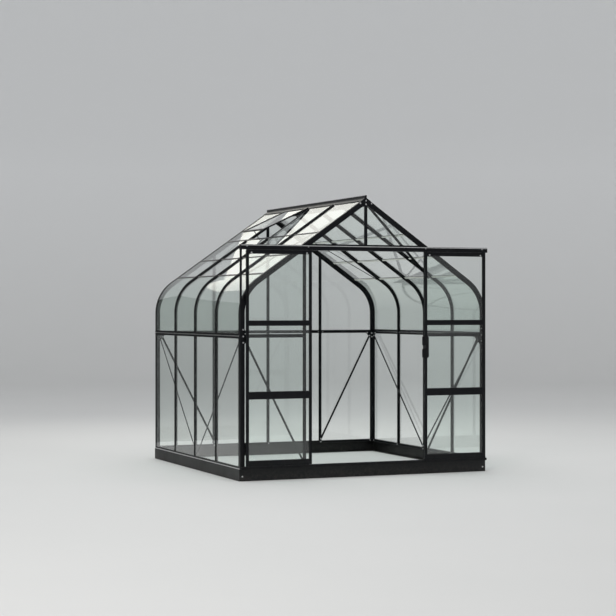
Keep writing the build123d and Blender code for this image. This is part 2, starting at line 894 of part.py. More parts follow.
right_door = {
    "frame": right_door_frame,
    "glass": right_door_glass,
    "hangers": right_door_hangers,
    "handle": right_door_handle,
}
left_door = dict(right_door, handle=right_keep)
for piece_name, piece in right_door.items():
    write("right_door_" + piece_name, piece)
for piece_name, piece in left_door.items():
    with BuildPart() as left_piece:
        mirror(piece.part, about=Plane.YZ.offset(door_lead / 2))
    write("left_door_" + piece_name, left_piece)
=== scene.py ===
import math
import random

import bmesh
import bpy
from mathutils import Matrix, Vector


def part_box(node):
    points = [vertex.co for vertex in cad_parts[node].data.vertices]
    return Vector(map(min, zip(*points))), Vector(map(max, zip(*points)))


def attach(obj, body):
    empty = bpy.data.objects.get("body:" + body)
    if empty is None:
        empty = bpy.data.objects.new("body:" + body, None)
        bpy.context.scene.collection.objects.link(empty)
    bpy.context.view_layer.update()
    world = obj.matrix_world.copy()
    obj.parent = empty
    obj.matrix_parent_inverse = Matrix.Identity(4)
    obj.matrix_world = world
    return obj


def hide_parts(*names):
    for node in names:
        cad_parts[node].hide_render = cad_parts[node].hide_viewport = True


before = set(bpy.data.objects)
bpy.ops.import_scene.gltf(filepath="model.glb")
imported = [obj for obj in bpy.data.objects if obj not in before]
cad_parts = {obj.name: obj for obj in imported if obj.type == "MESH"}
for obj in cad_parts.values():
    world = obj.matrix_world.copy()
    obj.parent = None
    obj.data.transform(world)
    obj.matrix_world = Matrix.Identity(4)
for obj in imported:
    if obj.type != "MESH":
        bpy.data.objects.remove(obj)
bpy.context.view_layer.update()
random.seed(31)
scene = bpy.context.scene
print("frame loaded,", len(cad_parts), "parts")

# Lines of the house in metres, some of them read from its parts
side = -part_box("front_left_corner_bar")[0].x
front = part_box("front_left_corner_bar")[0].y
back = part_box("back_left_corner_bar")[1].y
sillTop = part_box("left_sill")[1].z
rail = sum(corner.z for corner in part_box("left_mid_rail")) / 2
capHigh = 0.024  # top of the ridge cap above the line where the slopes meet
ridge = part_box("ridge_cap")[1].z - capHigh
middle = (front + back) / 2
half = (back - front) / 2
bay = 0.620
eaves = 1.752  # where the lines of wall and slope would meet
bend = 0.400  # outer radius of the curve between them
pitch = math.atan2(ridge - eaves, side)
curveReach = bend * math.tan((math.pi / 2 - pitch) / 2)  # of the curve, along wall and slope
panelReach = 0.087  # of the curved panels, from the curve up the slope
lowest = math.hypot(side, ridge - eaves) - curveReach - panelReach
joints = (lowest - 0.683, lowest - 0.316, lowest)  # of the roof panes, down from the ridge line
stations = (middle - bay, middle, middle + bay)  # of the side bars, along the house
jamb = 0.632
up = Vector((0, 0, 1))
right = Vector((1, 0, 0))
inner = Vector((0, 1, 0))

# Sizes of the sections that the fixings and seals sit on
section = {
    "halfBar": 0.015,
    "depth": 0.028,
    "cornerFace": 0.050,
    "cornerLap": 0.032,
    "halfRail": 0.014,
    "halfStrip": 0.008,
    "brace": 0.031,
    "braceInset": 0.032,
    "braceDown": 0.048,
}

# Each wall: a point on the ground at its outer line, its run, and the way in
walls = {
    "front": (Vector((0, front, 0)), right, inner),
    "right": (Vector((side, middle, 0)), inner, -right),
    "back": (Vector((0, back, 0)), -right, -inner),
    "left": (Vector((-side, middle, 0)), -inner, right),
}


def wallPoint(wall, along, inward, height):
    origin, run, inside = walls[wall]
    return origin + run * along + inside * inward + up * height


def sidePlaces(wall, places):
    # places along a side wall, from places along the house
    return [walls[wall][1].y * (y - middle) for y in places]


def slopeWays(hand):
    down = Vector((hand * math.cos(pitch), 0, -math.sin(pitch)))
    outward = Vector((hand * math.sin(pitch), 0, math.cos(pitch)))
    return down, outward


def slopePoint(hand, y, down, inward):
    along, outward = slopeWays(hand)
    return Vector((0, y, ridge)) + along * down - outward * inward


def bentLine(hand, y, foot, down, inward=0.0, steps=14):
    # points and outward directions from the foot of a wall round the eaves to the slope
    centre = Vector((hand * (side - bend), y, eaves - curveReach))
    stops = [(Vector((hand * (side - inward), y, foot)), right * hand)]
    for step in range(steps + 1):
        angle = (math.pi / 2 - pitch) * step / steps
        outward = Vector((hand * math.cos(angle), 0, math.sin(angle)))
        stops.append((centre + outward * (bend - inward), outward))
    stops.append((slopePoint(hand, y, down, inward), slopeWays(hand)[1]))
    return stops


def bays():
    # the clear width of each side pane, from bar to bar
    edges = [front + section["cornerLap"]]
    for y in stations:
        edges += [y - section["halfBar"], y + section["halfBar"]]
    edges.append(back - section["cornerLap"])
    return list(zip(edges[::2], edges[1::2]))


def roofBraceEnds(hand, end):
    # the bolts of a roof brace, near the ridge and on the lowest joint
    deep = section["brace"]
    highY = middle + end * (half - section["braceInset"])
    head = slopePoint(hand, highY, section["braceDown"], deep)
    return head, slopePoint(hand, middle + end * bay, joints[2], deep)


# The bars of each wall, along it, and how far the wall reaches from its middle
wallBars = {
    "left": (sidePlaces("left", stations), half),
    "right": (sidePlaces("right", stations), half),
    "front": ((-jamb, jamb), side),
    "back": ((-bay, 0, bay), side),
}


# Mesh tools

def seat(place, normal, spin=0.0):
    turn = normal.to_track_quat("Z", "Y").to_matrix().to_4x4()
    return Matrix.Translation(place) @ turn @ Matrix.Rotation(spin, 4, "Z")


def upright(y):
    # the place for an outline drawn in x and z, that gets its thickness towards the front
    return Matrix.Translation((0, y, 0)) @ Matrix.Rotation(math.pi / 2, 4, "X")


def lathe(mesh, place, profile, sides):
    rings = []
    for radius, height in profile:
        count = sides if radius > 0 else 1
        ring = []
        for step in range(count):
            angle = 2 * math.pi * step / sides
            spot = Vector((radius * math.cos(angle), radius * math.sin(angle), height))
            ring.append(mesh.verts.new(place @ spot))
        rings.append(ring)
    for lower, upper in zip(rings, rings[1:]):
        for step in range(sides):
            after = (step + 1) % sides
            corners = [
                lower[step % len(lower)],
                lower[after % len(lower)],
                upper[after % len(upper)],
                upper[step % len(upper)],
            ]
            mesh.faces.new(list(dict.fromkeys(corners)))


def sweep(mesh, stops, outline):
    # stops are (origin, across, outward); the outline is points (across, outward)
    rings = []
    for origin, across, outward in stops:
        rings.append([mesh.verts.new(origin + across * a + outward * b) for a, b in outline])
    for first, second in zip(rings, rings[1:]):
        for step in range(len(outline)):
            after = (step + 1) % len(outline)
            mesh.faces.new((first[step], first[after], second[after], second[step]))
    mesh.faces.new(rings[0])
    mesh.faces.new(rings[-1][::-1])


def strip(mesh, start, end, across, outward, outline):
    sweep(mesh, [(start, across, outward), (end, across, outward)], outline)


def mirrored(points):
    # half an outline, and its mirror image across
    return [*points, *((-a, b) for a, b in reversed(points))]


def lengthwise(mesh, x, low, high, z, across, outward, outline):
    # a strip along the house, from y low to y high
    strip(mesh, Vector((x, low, z)), Vector((x, high, z)), across, outward, outline)


def roundCorners(points, radius, steps=5):
    # a closed outline whose corners, outer and inner ones, become arcs
    rounded = []
    for index, point in enumerate(points):
        spot = Vector(point)
        before = (Vector(points[index - 1]) - spot).normalized()
        after = (Vector(points[(index + 1) % len(points)]) - spot).normalized()
        opening = before.angle(after)
        cut = radius / math.tan(opening / 2)
        centre = spot + (before + after).normalized() * (radius / math.sin(opening / 2))
        start, end = spot + before * cut - centre, spot + after * cut - centre
        first = math.atan2(start.y, start.x)
        turn = (math.atan2(end.y, end.x) - first + math.pi) % (2 * math.pi) - math.pi
        for step in range(steps + 1):
            angle = first + turn * step / steps
            rounded.append(centre + Vector((math.cos(angle), math.sin(angle))) * radius)
    return rounded


def slab(mesh, place, outline, thick, ease, segments=3):
    # an outline on local z 0, raised by its thickness, with the outer rim eased
    low = [mesh.verts.new(place @ Vector((p[0], p[1], 0))) for p in outline]
    high = [mesh.verts.new(place @ Vector((p[0], p[1], thick))) for p in outline]
    mesh.faces.new(low[::-1])
    top = mesh.faces.new(high)
    for step in range(len(low)):
        after = (step + 1) % len(low)
        mesh.faces.new((low[step], low[after], high[after], high[step]))
    if ease:
        bmesh.ops.bevel(
            mesh,
            geom=list(top.edges),
            offset=ease,
            segments=segments,
            profile=0.5,
            affect="EDGES",
            clamp_overlap=True,
        )


def block(mesh, low, high, ease):
    # a box between two corners with all its edges eased
    made = bmesh.ops.create_cube(mesh, size=1)
    size = high - low
    spot = Matrix.Translation((low + high) / 2) @ Matrix.Diagonal((*size, 1))
    bmesh.ops.transform(mesh, matrix=spot, verts=made["verts"])
    edges = list(dict.fromkeys(edge for vert in made["verts"] for edge in vert.link_edges))
    bmesh.ops.bevel(mesh, geom=edges, offset=ease, segments=2, profile=0.5, affect="EDGES")


def meshObject(name, mesh, finish):
    data = bpy.data.meshes.new(name)
    mesh.to_mesh(data)
    mesh.free()
    data.materials.append(finish)
    made = bpy.data.objects.new(name, data)
    scene.collection.objects.link(made)
    return made


def makePiece(name, finish, fit, *given, body="house", slotName=None, crease=35, stands=()):
    # fit fills the mesh; given is what else it needs to know
    mesh = bmesh.new()
    fit(mesh, *given)
    bmesh.ops.recalc_face_normals(mesh, faces=mesh.faces)
    piece = meshObject(name, mesh, finish)
    piece.data.shade_smooth()
    piece.data.set_sharp_from_angle(angle=math.radians(crease))
    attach(piece, body)
    if stands:
        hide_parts(*stands)
    print("piece", name, len(piece.data.polygons), "faces")


# Shader tools

def setInputs(tree, inputs, values):
    # a value is a plain one, or the socket that it comes from
    for label, value in values.items():
        if isinstance(value, bpy.types.NodeSocket):
            tree.links.new(value, inputs[label])
        else:
            inputs[label].default_value = value


def addNode(tree, kind, wires=None, **settings):
    made = tree.nodes.new("ShaderNode" + kind)
    for label, value in settings.items():
        setattr(made, label, value)
    setInputs(tree, made.inputs, wires or {})
    return made


def newGroup(name, inputs, outputs):
    group = bpy.data.node_groups.new(name, "ShaderNodeTree")
    for label, value in inputs.items():
        kind = "NodeSocketFloat" if isinstance(value, float) else "NodeSocketColor"
        socket = group.interface.new_socket(label, in_out="INPUT", socket_type=kind)
        socket.default_value = value
    for label, kind in outputs.items():
        group.interface.new_socket(label, in_out="OUTPUT", socket_type="NodeSocket" + kind)
    given = group.nodes.new("NodeGroupInput").outputs
    return group, given, group.nodes.new("NodeGroupOutput").inputs


def placeGroup(tree, group, values):
    placed = tree.nodes.new("ShaderNodeGroup")
    placed.node_tree = group
    setInputs(tree, placed.inputs, values)
    return placed.outputs


def mixColours(tree, factor, first, second):
    return addNode(tree, "Mix", {0: factor, 6: first, 7: second}, data_type="RGBA").outputs[2]


def maths(tree, operation, first, second, clamp=False):
    made = addNode(tree, "Math", {0: first, 1: second}, operation=operation, use_clamp=clamp)
    return made.outputs[0]


def spread(tree, value, fromLow, fromHigh, toLow=0.0, toHigh=1.0):
    wires = {"Value": value, "From Min": fromLow, "From Max": fromHigh}
    ranged = addNode(tree, "MapRange", {**wires, "To Min": toLow, "To Max": toHigh})
    return ranged.outputs["Result"]


def noise(tree, spots, scale, detail, rough=0.5):
    wires = {"Vector": spots, "Scale": scale, "Detail": detail, "Roughness": rough}
    return addNode(tree, "TexNoise", wires).outputs[0]


def upPart(tree, vector):
    return addNode(tree, "SeparateXYZ", {0: vector}).outputs["Z"]


def colour(red, green, blue):
    return (red, green, blue, 1.0)


def makeCoatSurface():
    # powder coat: orange peel, edges lightened as rubbed wear and as a painted highlight, dust on
    # what faces up, splashes near the ground
    group, given, result = newGroup(
        "coatSurface",
        {
            "Coat": colour(0.01, 0.01, 0.012),
            "Rubbed Edge And Highlight": colour(0.1, 0.1, 0.1),
            "Dust": colour(0.2, 0.18, 0.15),
            "Edge Radius": 0.0012,
            "Wear And Highlight": 0.5,
            "Dustiness": 0.3,
            "Splash Height": 0.25,
            "Peel Scale": 700.0,
            "Plain Roughness": 0.35,
        },
        {"Colour": "Color", "Roughness": "Float", "Height": "Float"},
    )
    spots = addNode(group, "TexCoord").outputs["Object"]
    facing = addNode(group, "NewGeometry").outputs["Normal"]
    cloud = noise(group, spots, 3.4, 5.0, 0.62)
    speck = noise(group, spots, 46.0, 7.0, 0.7)
    # the lighter colour on the edges is partly rubbed wear and partly a painted highlight
    eased = addNode(group, "Bevel", {"Radius": given["Edge Radius"]}, samples=4).outputs["Normal"]
    turn = addNode(group, "VectorMath", {0: eased, 1: facing}, operation="DOT_PRODUCT")
    rim = spread(group, turn.outputs["Value"], 0.995, 0.86)
    rubbedAndHighlight = maths(group, "MULTIPLY", rim, spread(group, cloud, 0.35, 0.7), True)
    rubbedAndHighlight = maths(group, "MULTIPLY", rubbedAndHighlight, given["Wear And Highlight"], True)
    upward = spread(group, upPart(group, facing), 0.35, 0.95)
    settled = maths(group, "MULTIPLY", upward, spread(group, cloud, 0.3, 0.75), True)
    low = spread(group, upPart(group, spots), given["Splash Height"], 0.0)
    splash = maths(group, "MULTIPLY", low, spread(group, speck, 0.42, 0.7), True)
    dusty = maths(group, "MAXIMUM", settled, splash)
    dusty = maths(group, "MULTIPLY", dusty, given["Dustiness"], True)
    tone = mixColours(group, rubbedAndHighlight, given["Coat"], given["Rubbed Edge And Highlight"])
    cloudy = spread(group, cloud, 0.3, 0.8, -0.05, 0.1)
    rough = maths(group, "ADD", given["Plain Roughness"], cloudy)
    results = {
        "Colour": mixColours(group, dusty, tone, given["Dust"]),
        "Roughness": maths(group, "ADD", rough, maths(group, "MULTIPLY", dusty, 0.5), True),
        "Height": noise(group, spots, given["Peel Scale"], 2.0),
    }
    setInputs(group, result, results)
    return group


def makePaneFilm():
    # faint runs of rain and dust on a pane, thicker near its foot
    group, given, result = newGroup(
        "paneFilm",
        {
            "Clear": colour(0.95, 0.98, 0.97),
            "Filmed": colour(0.85, 0.88, 0.86),
            "Film": 0.3,
            "Clear Roughness": 0.0,
            "Filmed Roughness": 0.06,
        },
        {"Colour": "Color", "Roughness": "Float"},
    )
    spots = addNode(group, "TexCoord").outputs["Object"]
    drawn = addNode(group, "Mapping", {"Vector": spots, "Scale": (17.0, 17.0, 1.3)})
    runs = noise(group, drawn.outputs[0], 1.6, 6.0, 0.65)
    cloud = noise(group, spots, 2.1, 3.0)
    foot = spread(group, upPart(group, spots), 0.55, 0.12, 0.25, 1.0)
    film = maths(group, "MULTIPLY", spread(group, runs, 0.45, 0.8), cloud, True)
    film = maths(group, "MULTIPLY", maths(group, "MULTIPLY", film, foot), given["Film"], True)
    ends = given["Clear Roughness"], given["Filmed Roughness"]
    results = {
        "Colour": mixColours(group, film, given["Clear"], given["Filmed"]),
        "Roughness": spread(group, film, 0.0, 1.0, *ends),
    }
    setInputs(group, result, results)
    return group


def makeGrain():
    # grain and mottling for moulded plastic, rubber, nylon, zinc, and the bright metal of the
    # painted highlight strips
    group, given, result = newGroup(
        "fineGrain",
        {
            "First": colour(0.02, 0.02, 0.02),
            "Second": colour(0.04, 0.04, 0.04),
            "Grain Scale": 900.0,
            "Cloud Scale": 30.0,
            "Low Roughness": 0.3,
            "High Roughness": 0.5,
        },
        {"Colour": "Color", "Roughness": "Float", "Height": "Float"},
    )
    spots = addNode(group, "TexCoord").outputs["Object"]
    grain = addNode(group, "TexVoronoi", {"Vector": spots, "Scale": given["Grain Scale"]})
    share = spread(group, noise(group, spots, given["Cloud Scale"], 4.0), 0.3, 0.7)
    ends = given["Low Roughness"], given["High Roughness"]
    results = {
        "Colour": mixColours(group, share, given["First"], given["Second"]),
        "Roughness": spread(group, share, 0.0, 1.0, *ends),
        "Height": grain.outputs["Distance"],
    }
    setInputs(group, result, results)
    return group


coatSurface = makeCoatSurface()
paneFilm = makePaneFilm()
fineGrain = makeGrain()


def newFinish(name):
    finish = bpy.data.materials.new(name)
    finish.use_nodes = True
    tree = finish.node_tree
    shader = tree.nodes["Principled BSDF"]
    return finish, tree, shader


def surfaceFrom(name, group, values, bump, constants):
    finish, tree, shader = newFinish(name)
    surface = placeGroup(tree, group, values)
    strength, distance = bump
    wires = {"Height": surface["Height"], "Strength": strength, "Distance": distance}
    sources = {
        "Base Color": surface["Colour"],
        "Roughness": surface["Roughness"],
        "Normal": addNode(tree, "Bump", wires).outputs["Normal"],
    }
    setInputs(tree, shader.inputs, {**sources, **constants})
    return finish


def grainFinish(name, first, second, scales, roughness, bump, constants):
    values = {
        "First": colour(*first),
        "Second": colour(*second),
        "Grain Scale": scales[0],
        "Cloud Scale": scales[1],
        "Low Roughness": roughness[0],
        "High Roughness": roughness[1],
    }
    return surfaceFrom(name, fineGrain, values, bump, constants)


def seeThrough(name, values, shade, constants):
    # light from lamps and soft light pass straight on, so that what is inside is lit
    finish, tree, shader = newFinish(name)
    surface = placeGroup(tree, paneFilm, values)
    sources = {"Base Color": surface["Colour"], "Roughness": surface["Roughness"]}
    setInputs(tree, shader.inputs, {**sources, "Transmission Weight": 1.0, **constants})
    rays = addNode(tree, "LightPath").outputs
    clear = addNode(tree, "BsdfTransparent", {"Color": shade}).outputs[0]
    seen = shader.outputs[0]
    for kind in ("Is Diffuse Ray", "Is Shadow Ray"):
        seen = addNode(tree, "MixShader", {0: rays[kind], 1: seen, 2: clear}).outputs[0]
    tree.links.new(seen, tree.nodes["Material Output"].inputs["Surface"])
    return finish


# on both coats the lighter colour along the edges is rubbed wear and a painted highlight
blackCoat = surfaceFrom(
    "blackCoat",
    coatSurface,
    {
        "Coat": colour(0.0045, 0.005, 0.0065),
        "Rubbed Edge And Highlight": colour(0.16, 0.165, 0.175),
        "Dust": colour(0.20, 0.19, 0.17),
        "Edge Radius": 0.0014,
        "Wear And Highlight": 0.55,
        "Dustiness": 0.09,
        "Splash Height": 0.30,
        "Plain Roughness": 0.34,
    },
    (0.12, 0.0004),
    {"Specular IOR Level": 0.16},
)
baseCoat = surfaceFrom(
    "baseCoat",
    coatSurface,
    {
        "Coat": colour(0.0055, 0.006, 0.007),
        "Rubbed Edge And Highlight": colour(0.12, 0.12, 0.125),
        "Dust": colour(0.13, 0.12, 0.10),
        "Edge Radius": 0.002,
        "Wear And Highlight": 0.6,
        "Dustiness": 0.28,
        "Splash Height": 0.12,
        "Peel Scale": 420.0,
        "Plain Roughness": 0.42,
    },
    (0.16, 0.0006),
    {"Specular IOR Level": 0.28},
)
clearGlass = seeThrough(
    "clearGlass",
    {
        "Clear": colour(0.945, 0.975, 0.962),
        "Filmed": colour(0.87, 0.89, 0.87),
        "Film": 0.5,
        "Filmed Roughness": 0.05,
    },
    colour(0.93, 0.96, 0.95),
    {"IOR": 1.5},
)
curvedPlastic = seeThrough(
    "curvedPlastic",
    {
        "Clear": colour(0.80, 0.875, 0.835),
        "Filmed": colour(0.74, 0.79, 0.75),
        "Film": 0.8,
        "Clear Roughness": 0.035,
        "Filmed Roughness": 0.14,
    },
    colour(0.86, 0.90, 0.88),
    {"IOR": 1.49},
)
mouldedPlastic = grainFinish(
    "mouldedPlastic",
    first=(0.005, 0.005, 0.006),
    second=(0.009, 0.009, 0.010),
    scales=(1400.0, 38.0),
    roughness=(0.42, 0.56),
    bump=(0.25, 0.0003),
    constants={"Specular IOR Level": 0.14},
)
zincSteel = grainFinish(
    "zincSteel",
    first=(0.56, 0.57, 0.59),
    second=(0.72, 0.72, 0.71),
    scales=(1100.0, 160.0),
    roughness=(0.24, 0.42),
    bump=(0.10, 0.0002),
    constants={"Metallic": 1.0},
)
sealRubber = grainFinish(
    "sealRubber",
    first=(0.010, 0.010, 0.010),
    second=(0.022, 0.022, 0.022),
    scales=(800.0, 22.0),
    roughness=(0.62, 0.82),
    bump=(0.20, 0.0003),
    constants={"Specular IOR Level": 0.3},
)
wheelNylon = grainFinish(
    "wheelNylon",
    first=(0.62, 0.61, 0.57),
    second=(0.74, 0.73, 0.69),
    scales=(600.0, 90.0),
    roughness=(0.34, 0.5),
    bump=(0.10, 0.0002),
    constants={"Subsurface Weight": 0.1},
)
palePlastic = grainFinish(
    "palePlastic",
    first=(0.84, 0.83, 0.78),
    second=(0.90, 0.895, 0.85),
    scales=(700.0, 12.0),
    roughness=(0.35, 0.5),
    bump=(0.08, 0.0002),
    constants={"IOR": 1.46},
)
# bright metal for the strips that are painted highlight lines on the rails, the ridge and the
# track
paintedHighlightMetal = grainFinish(
    "paintedHighlightMetal",
    first=(0.72, 0.725, 0.73),
    second=(0.83, 0.83, 0.825),
    scales=(1500.0, 60.0),
    roughness=(0.26, 0.38),
    bump=(0.06, 0.0002),
    constants={"Metallic": 1.0},
)
brushPile = grainFinish(
    "brushPile",
    first=(0.012, 0.012, 0.013),
    second=(0.035, 0.035, 0.036),
    scales=(2200.0, 300.0),
    roughness=(0.8, 0.95),
    bump=(0.35, 0.0004),
    constants={"Specular IOR Level": 0.2},
)
for name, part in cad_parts.items():
    if "glass" in name:
        chosen = clearGlass
    elif "curved_panels" in name:
        chosen = curvedPlastic
    elif name.endswith("_base"):
        chosen = baseCoat
    elif "handle" in name:
        chosen = mouldedPlastic
    else:
        chosen = blackCoat
    part.data.materials.clear()
    part.data.materials.append(chosen)
print("finishes placed")


# Fixings: nuts on the inside, bolt heads and screws on the outside
fixing = {
    "washer": 0.0078,
    "washerThick": 0.0012,
    "nut": 0.0060,
    "nutHigh": 0.0048,
    "nutEase": 0.0007,
    "stud": 0.0030,
    "studProud": 0.0022,
    "studEase": (0.0006, 0.0005),
    "headHigh": 0.0038,
    "headEase": 0.0008,
}


def washer(mesh, spot):
    wide, thick = fixing["washer"], fixing["washerThick"]
    rim = [(wide, 0), (wide, thick * 0.7), (wide - thick * 0.3, thick)]
    lathe(mesh, spot, [(0, 0), *rim, (0, thick)], 14)
    return thick


def nut(mesh, place, normal, size=1.0):
    spot = seat(place, normal, random.uniform(0, 1)) @ Matrix.Scale(size, 4)
    low = washer(mesh, spot)
    flat, ease = fixing["nut"], fixing["nutEase"]
    top = low + fixing["nutHigh"]
    rim = [(flat * 0.93, low), (flat, low + ease), (flat, top - ease), (flat * 0.93, top)]
    lathe(mesh, spot, [(0, low), *rim, (0, top)], 6)
    stud, (inset, fall) = fixing["stud"], fixing["studEase"]
    tip = top + fixing["studProud"]
    rim = [(stud, top), (stud, tip - fall), (stud - inset, tip)]
    lathe(mesh, spot, [(0, top), *rim, (0, tip)], 9)


def boltHead(mesh, place, normal):
    spot = seat(place, normal, random.uniform(0, 1))
    low = washer(mesh, spot)
    flat = fixing["nut"]
    top = low + fixing["headHigh"]
    rim = [(flat, low), (flat, top - fixing["headEase"]), (flat * 0.9, top)]
    lathe(mesh, spot, [(0, low), *rim, (flat * 0.3, top + 0.0002), (0, top)], 6)


def screw(mesh, place, normal, radius=0.0042, dome=0.55):
    # a domed head with a socket in it
    spot = seat(place, normal, random.uniform(0, 1))
    high = radius * dome
    socket = radius * 0.42
    profile = [(0, 0), (radius, 0), (radius, high * 0.3), (radius * 0.86, high * 0.75)]
    profile += [(radius * 0.6, high), (socket, high), (socket * 0.9, high * 0.45), (0, high * 0.4)]
    lathe(mesh, spot, profile, 12)


# Places of the nuts
nutPlace = {
    "sillDrop": 0.011,
    "cornerInset": 0.060,
    "besideBar": (-0.026, 0.026),
    "railInward": 0.0185,
    "underRail": 0.002,
    "railSize": 0.75,
    "gussetInset": {"left": 0.026, "right": 0.026, "front": 0.042, "back": 0.042},
    "gussetDrops": (0.018, 0.058),
    "gussetFar": (0.094, 0.013),
    "braceFeet": {"front": jamb, "back": bay, "left": 0.011, "right": 0.011},
    "braceRise": 0.022,
    "braceInset": 0.070,
    "braceDrop": 0.048,
    "ridgeInset": 0.06,
    "ridgeWeb": 0.004,
    "ridgeDrop": 0.067,
}


def wallNuts(mesh):
    # at the foot of each bar and corner bar, and under the rail on both sides of each bar
    n = nutPlace
    low = sillTop - n["sillDrop"]
    for wall, (places, reach) in wallBars.items():
        inward = walls[wall][2]
        for along in places:
            nut(mesh, wallPoint(wall, along, section["depth"], low), inward)
            for step in n["besideBar"]:
                if wall == "front" and abs(along + step) < jamb:
                    continue
                spot = wallPoint(wall, along + step, n["railInward"], rail - n["underRail"])
                nut(mesh, spot, -up, n["railSize"])
        for along in (-reach + n["cornerInset"], reach - n["cornerInset"]):
            nut(mesh, wallPoint(wall, along, section["depth"], low), inward)


def gussetNuts(mesh):
    n = nutPlace
    top = rail - n["underRail"]
    for wall, (_, reach) in wallBars.items():
        near = n["gussetInset"][wall]
        places = [(near, drop) for drop in n["gussetDrops"]] + [n["gussetFar"]]
        for end in (-1, 1):
            for inset, drop in places:
                spot = wallPoint(wall, end * (reach - inset), section["depth"], top - drop)
                nut(mesh, spot, walls[wall][2])


def braceNuts(mesh):
    n = nutPlace
    low, high = sillTop + n["braceRise"], rail - n["braceDrop"]
    for wall, foot in n["braceFeet"].items():
        head = wallBars[wall][1] - n["braceInset"]
        for end in (-1, 1):
            for along, height in ((foot, low), (head, high)):
                spot = wallPoint(wall, end * along, section["brace"], height)
                nut(mesh, spot, walls[wall][2])
    for hand in (-1, 1):
        for end in (-1, 1):
            for spot in roofBraceEnds(hand, end):
                nut(mesh, spot, -slopeWays(hand)[1])


def ridgeNuts(mesh):
    n = nutPlace
    for y in (front + n["ridgeInset"], *stations, back - n["ridgeInset"]):
        for hand in (-1, 1):
            nut(mesh, Vector((hand * n["ridgeWeb"], y, ridge - n["ridgeDrop"])), right * hand)


def houseNuts(mesh):
    for fit in (wallNuts, gussetNuts, braceNuts, ridgeNuts):
        fit(mesh)


makePiece("house_nuts", zincSteel, houseNuts)

# Bolt heads that show from outside
outside = {
    "postHeights": (rail - 0.062, rail - 0.004, rail + 0.058),
    "postInset": 0.036,
    "postDome": 0.5,
    "apex": ((-0.058, 0.055), (0.058, 0.055), (0, 0.028), (0, 0.064)),
    "apexProud": 0.003,
    "apexDome": 0.14,
    "backRadius": 0.0062,
    "baseInset": 0.030,
    "baseHeight": 0.043,
    "baseProud": 0.004,
    "trackHeight": 2.168,
    "trackPlaces": (-1.225, -0.612, 0.612, 1.225),
    "trackRadius": 0.0055,
}


def gableBolt(mesh, wall, along, inward, height, dome):
    # a hexagon head on the front gable, a domed one on the back
    spot, outward = wallPoint(wall, along, inward, height), -walls[wall][2]
    if wall == "front":
        boltHead(mesh, spot, outward)
    else:
        screw(mesh, spot, outward, outside["backRadius"], dome)


def houseBolts(mesh):
    o = outside
    for wall in ("front", "back"):
        for end in (-1, 1):
            for height in o["postHeights"]:
                gableBolt(mesh, wall, end * (side - o["postInset"]), 0, height, o["postDome"])
        for along, drop in o["apex"]:
            gableBolt(mesh, wall, along, -o["apexProud"], ridge - drop, o["apexDome"])
    for end in (-1, 1):
        along = end * (side + o["baseProud"] - o["baseInset"])
        boltHead(mesh, wallPoint("front", along, -o["baseProud"], o["baseHeight"]), -inner)
    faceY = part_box("door_track")[0].y + 0.0001
    for x in o["trackPlaces"]:
        screw(mesh, Vector((x, faceY, o["trackHeight"])), -inner, o["trackRadius"])


makePiece("house_bolts", zincSteel, houseBolts)

# Cap screws: a pair where a side rail passes each bar, and one at the head of each bar
capScrew = {
    "endInset": 0.016,
    "apart": 0.007,
    "railProud": 0.0028,
    "railRadius": 0.0030,
    "railDome": 0.3,
    "slopeDown": 0.042,
    "slopeProud": 0.003,
    "slopeRadius": 0.0036,
}


def capScrews(mesh):
    c = capScrew
    places = (front + c["endInset"], *stations, back - c["endInset"])
    for wall in ("left", "right"):
        for along in sidePlaces(wall, places):
            for height in (rail - c["apart"], rail + c["apart"]):
                spot = wallPoint(wall, along, -c["railProud"], height)
                screw(mesh, spot, -walls[wall][2], c["railRadius"], c["railDome"])
    for hand in (-1, 1):
        for y in places:
            spot = slopePoint(hand, y, c["slopeDown"], -c["slopeProud"])
            screw(mesh, spot, slopeWays(hand)[1], c["slopeRadius"])


makePiece("cap_screws", zincSteel, capScrews)

# Seals: a lip on the inside of the pane and a bead along its outer edge
seal = {
    "top": 0.060,
    "lip": (
        (-0.0025, -0.0088),
        (-0.0025, -0.0072),
        (0.0022, -0.0072),
        (0.0026, -0.0078),
        (0.0018, -0.0092),
    ),
    "bead": ((-0.0004, -0.0029), (0.0017, -0.0029), (0.0014, -0.0021), (-0.0004, -0.0014)),
}
# Lower and upper edges of the wall panes, and the way from each to its pane
levels = (
    (sillTop, 1),
    (rail - section["halfRail"], -1),
    (rail + section["halfRail"], 1),
)


def sealLine(mesh, stops):
    for outline in (seal["lip"], seal["bead"]):
        sweep(mesh, stops, outline)


def sealStrip(mesh, start, end, across, outward):
    sealLine(mesh, [(start, across, outward), (end, across, outward)])


def sideSeals(mesh):
    for hand in (-1, 1):
        edges = [(front + section["cornerLap"], 1), (back - section["cornerLap"], -1)]
        for y in stations:
            edges += [(y - section["halfBar"], -1), (y + section["halfBar"], 1)]
        for y, way in edges:
            line = bentLine(hand, y, sillTop, seal["top"])
            sealLine(mesh, [(spot, inner * way, out) for spot, out in line])


def crossSeals(mesh):
    for hand in (-1, 1):
        down, outward = slopeWays(hand)
        for low, high in bays():
            for height, way in levels:
                ends = [Vector((hand * side, y, height)) for y in (low, high)]
                sealStrip(mesh, *ends, up * way, right * hand)
            for seam in joints:
                for way in (-1, 1):
                    at = seam + way * section["halfStrip"]
                    ends = [slopePoint(hand, y, at, 0) for y in (low, high)]
                    sealStrip(mesh, *ends, down * way, outward)


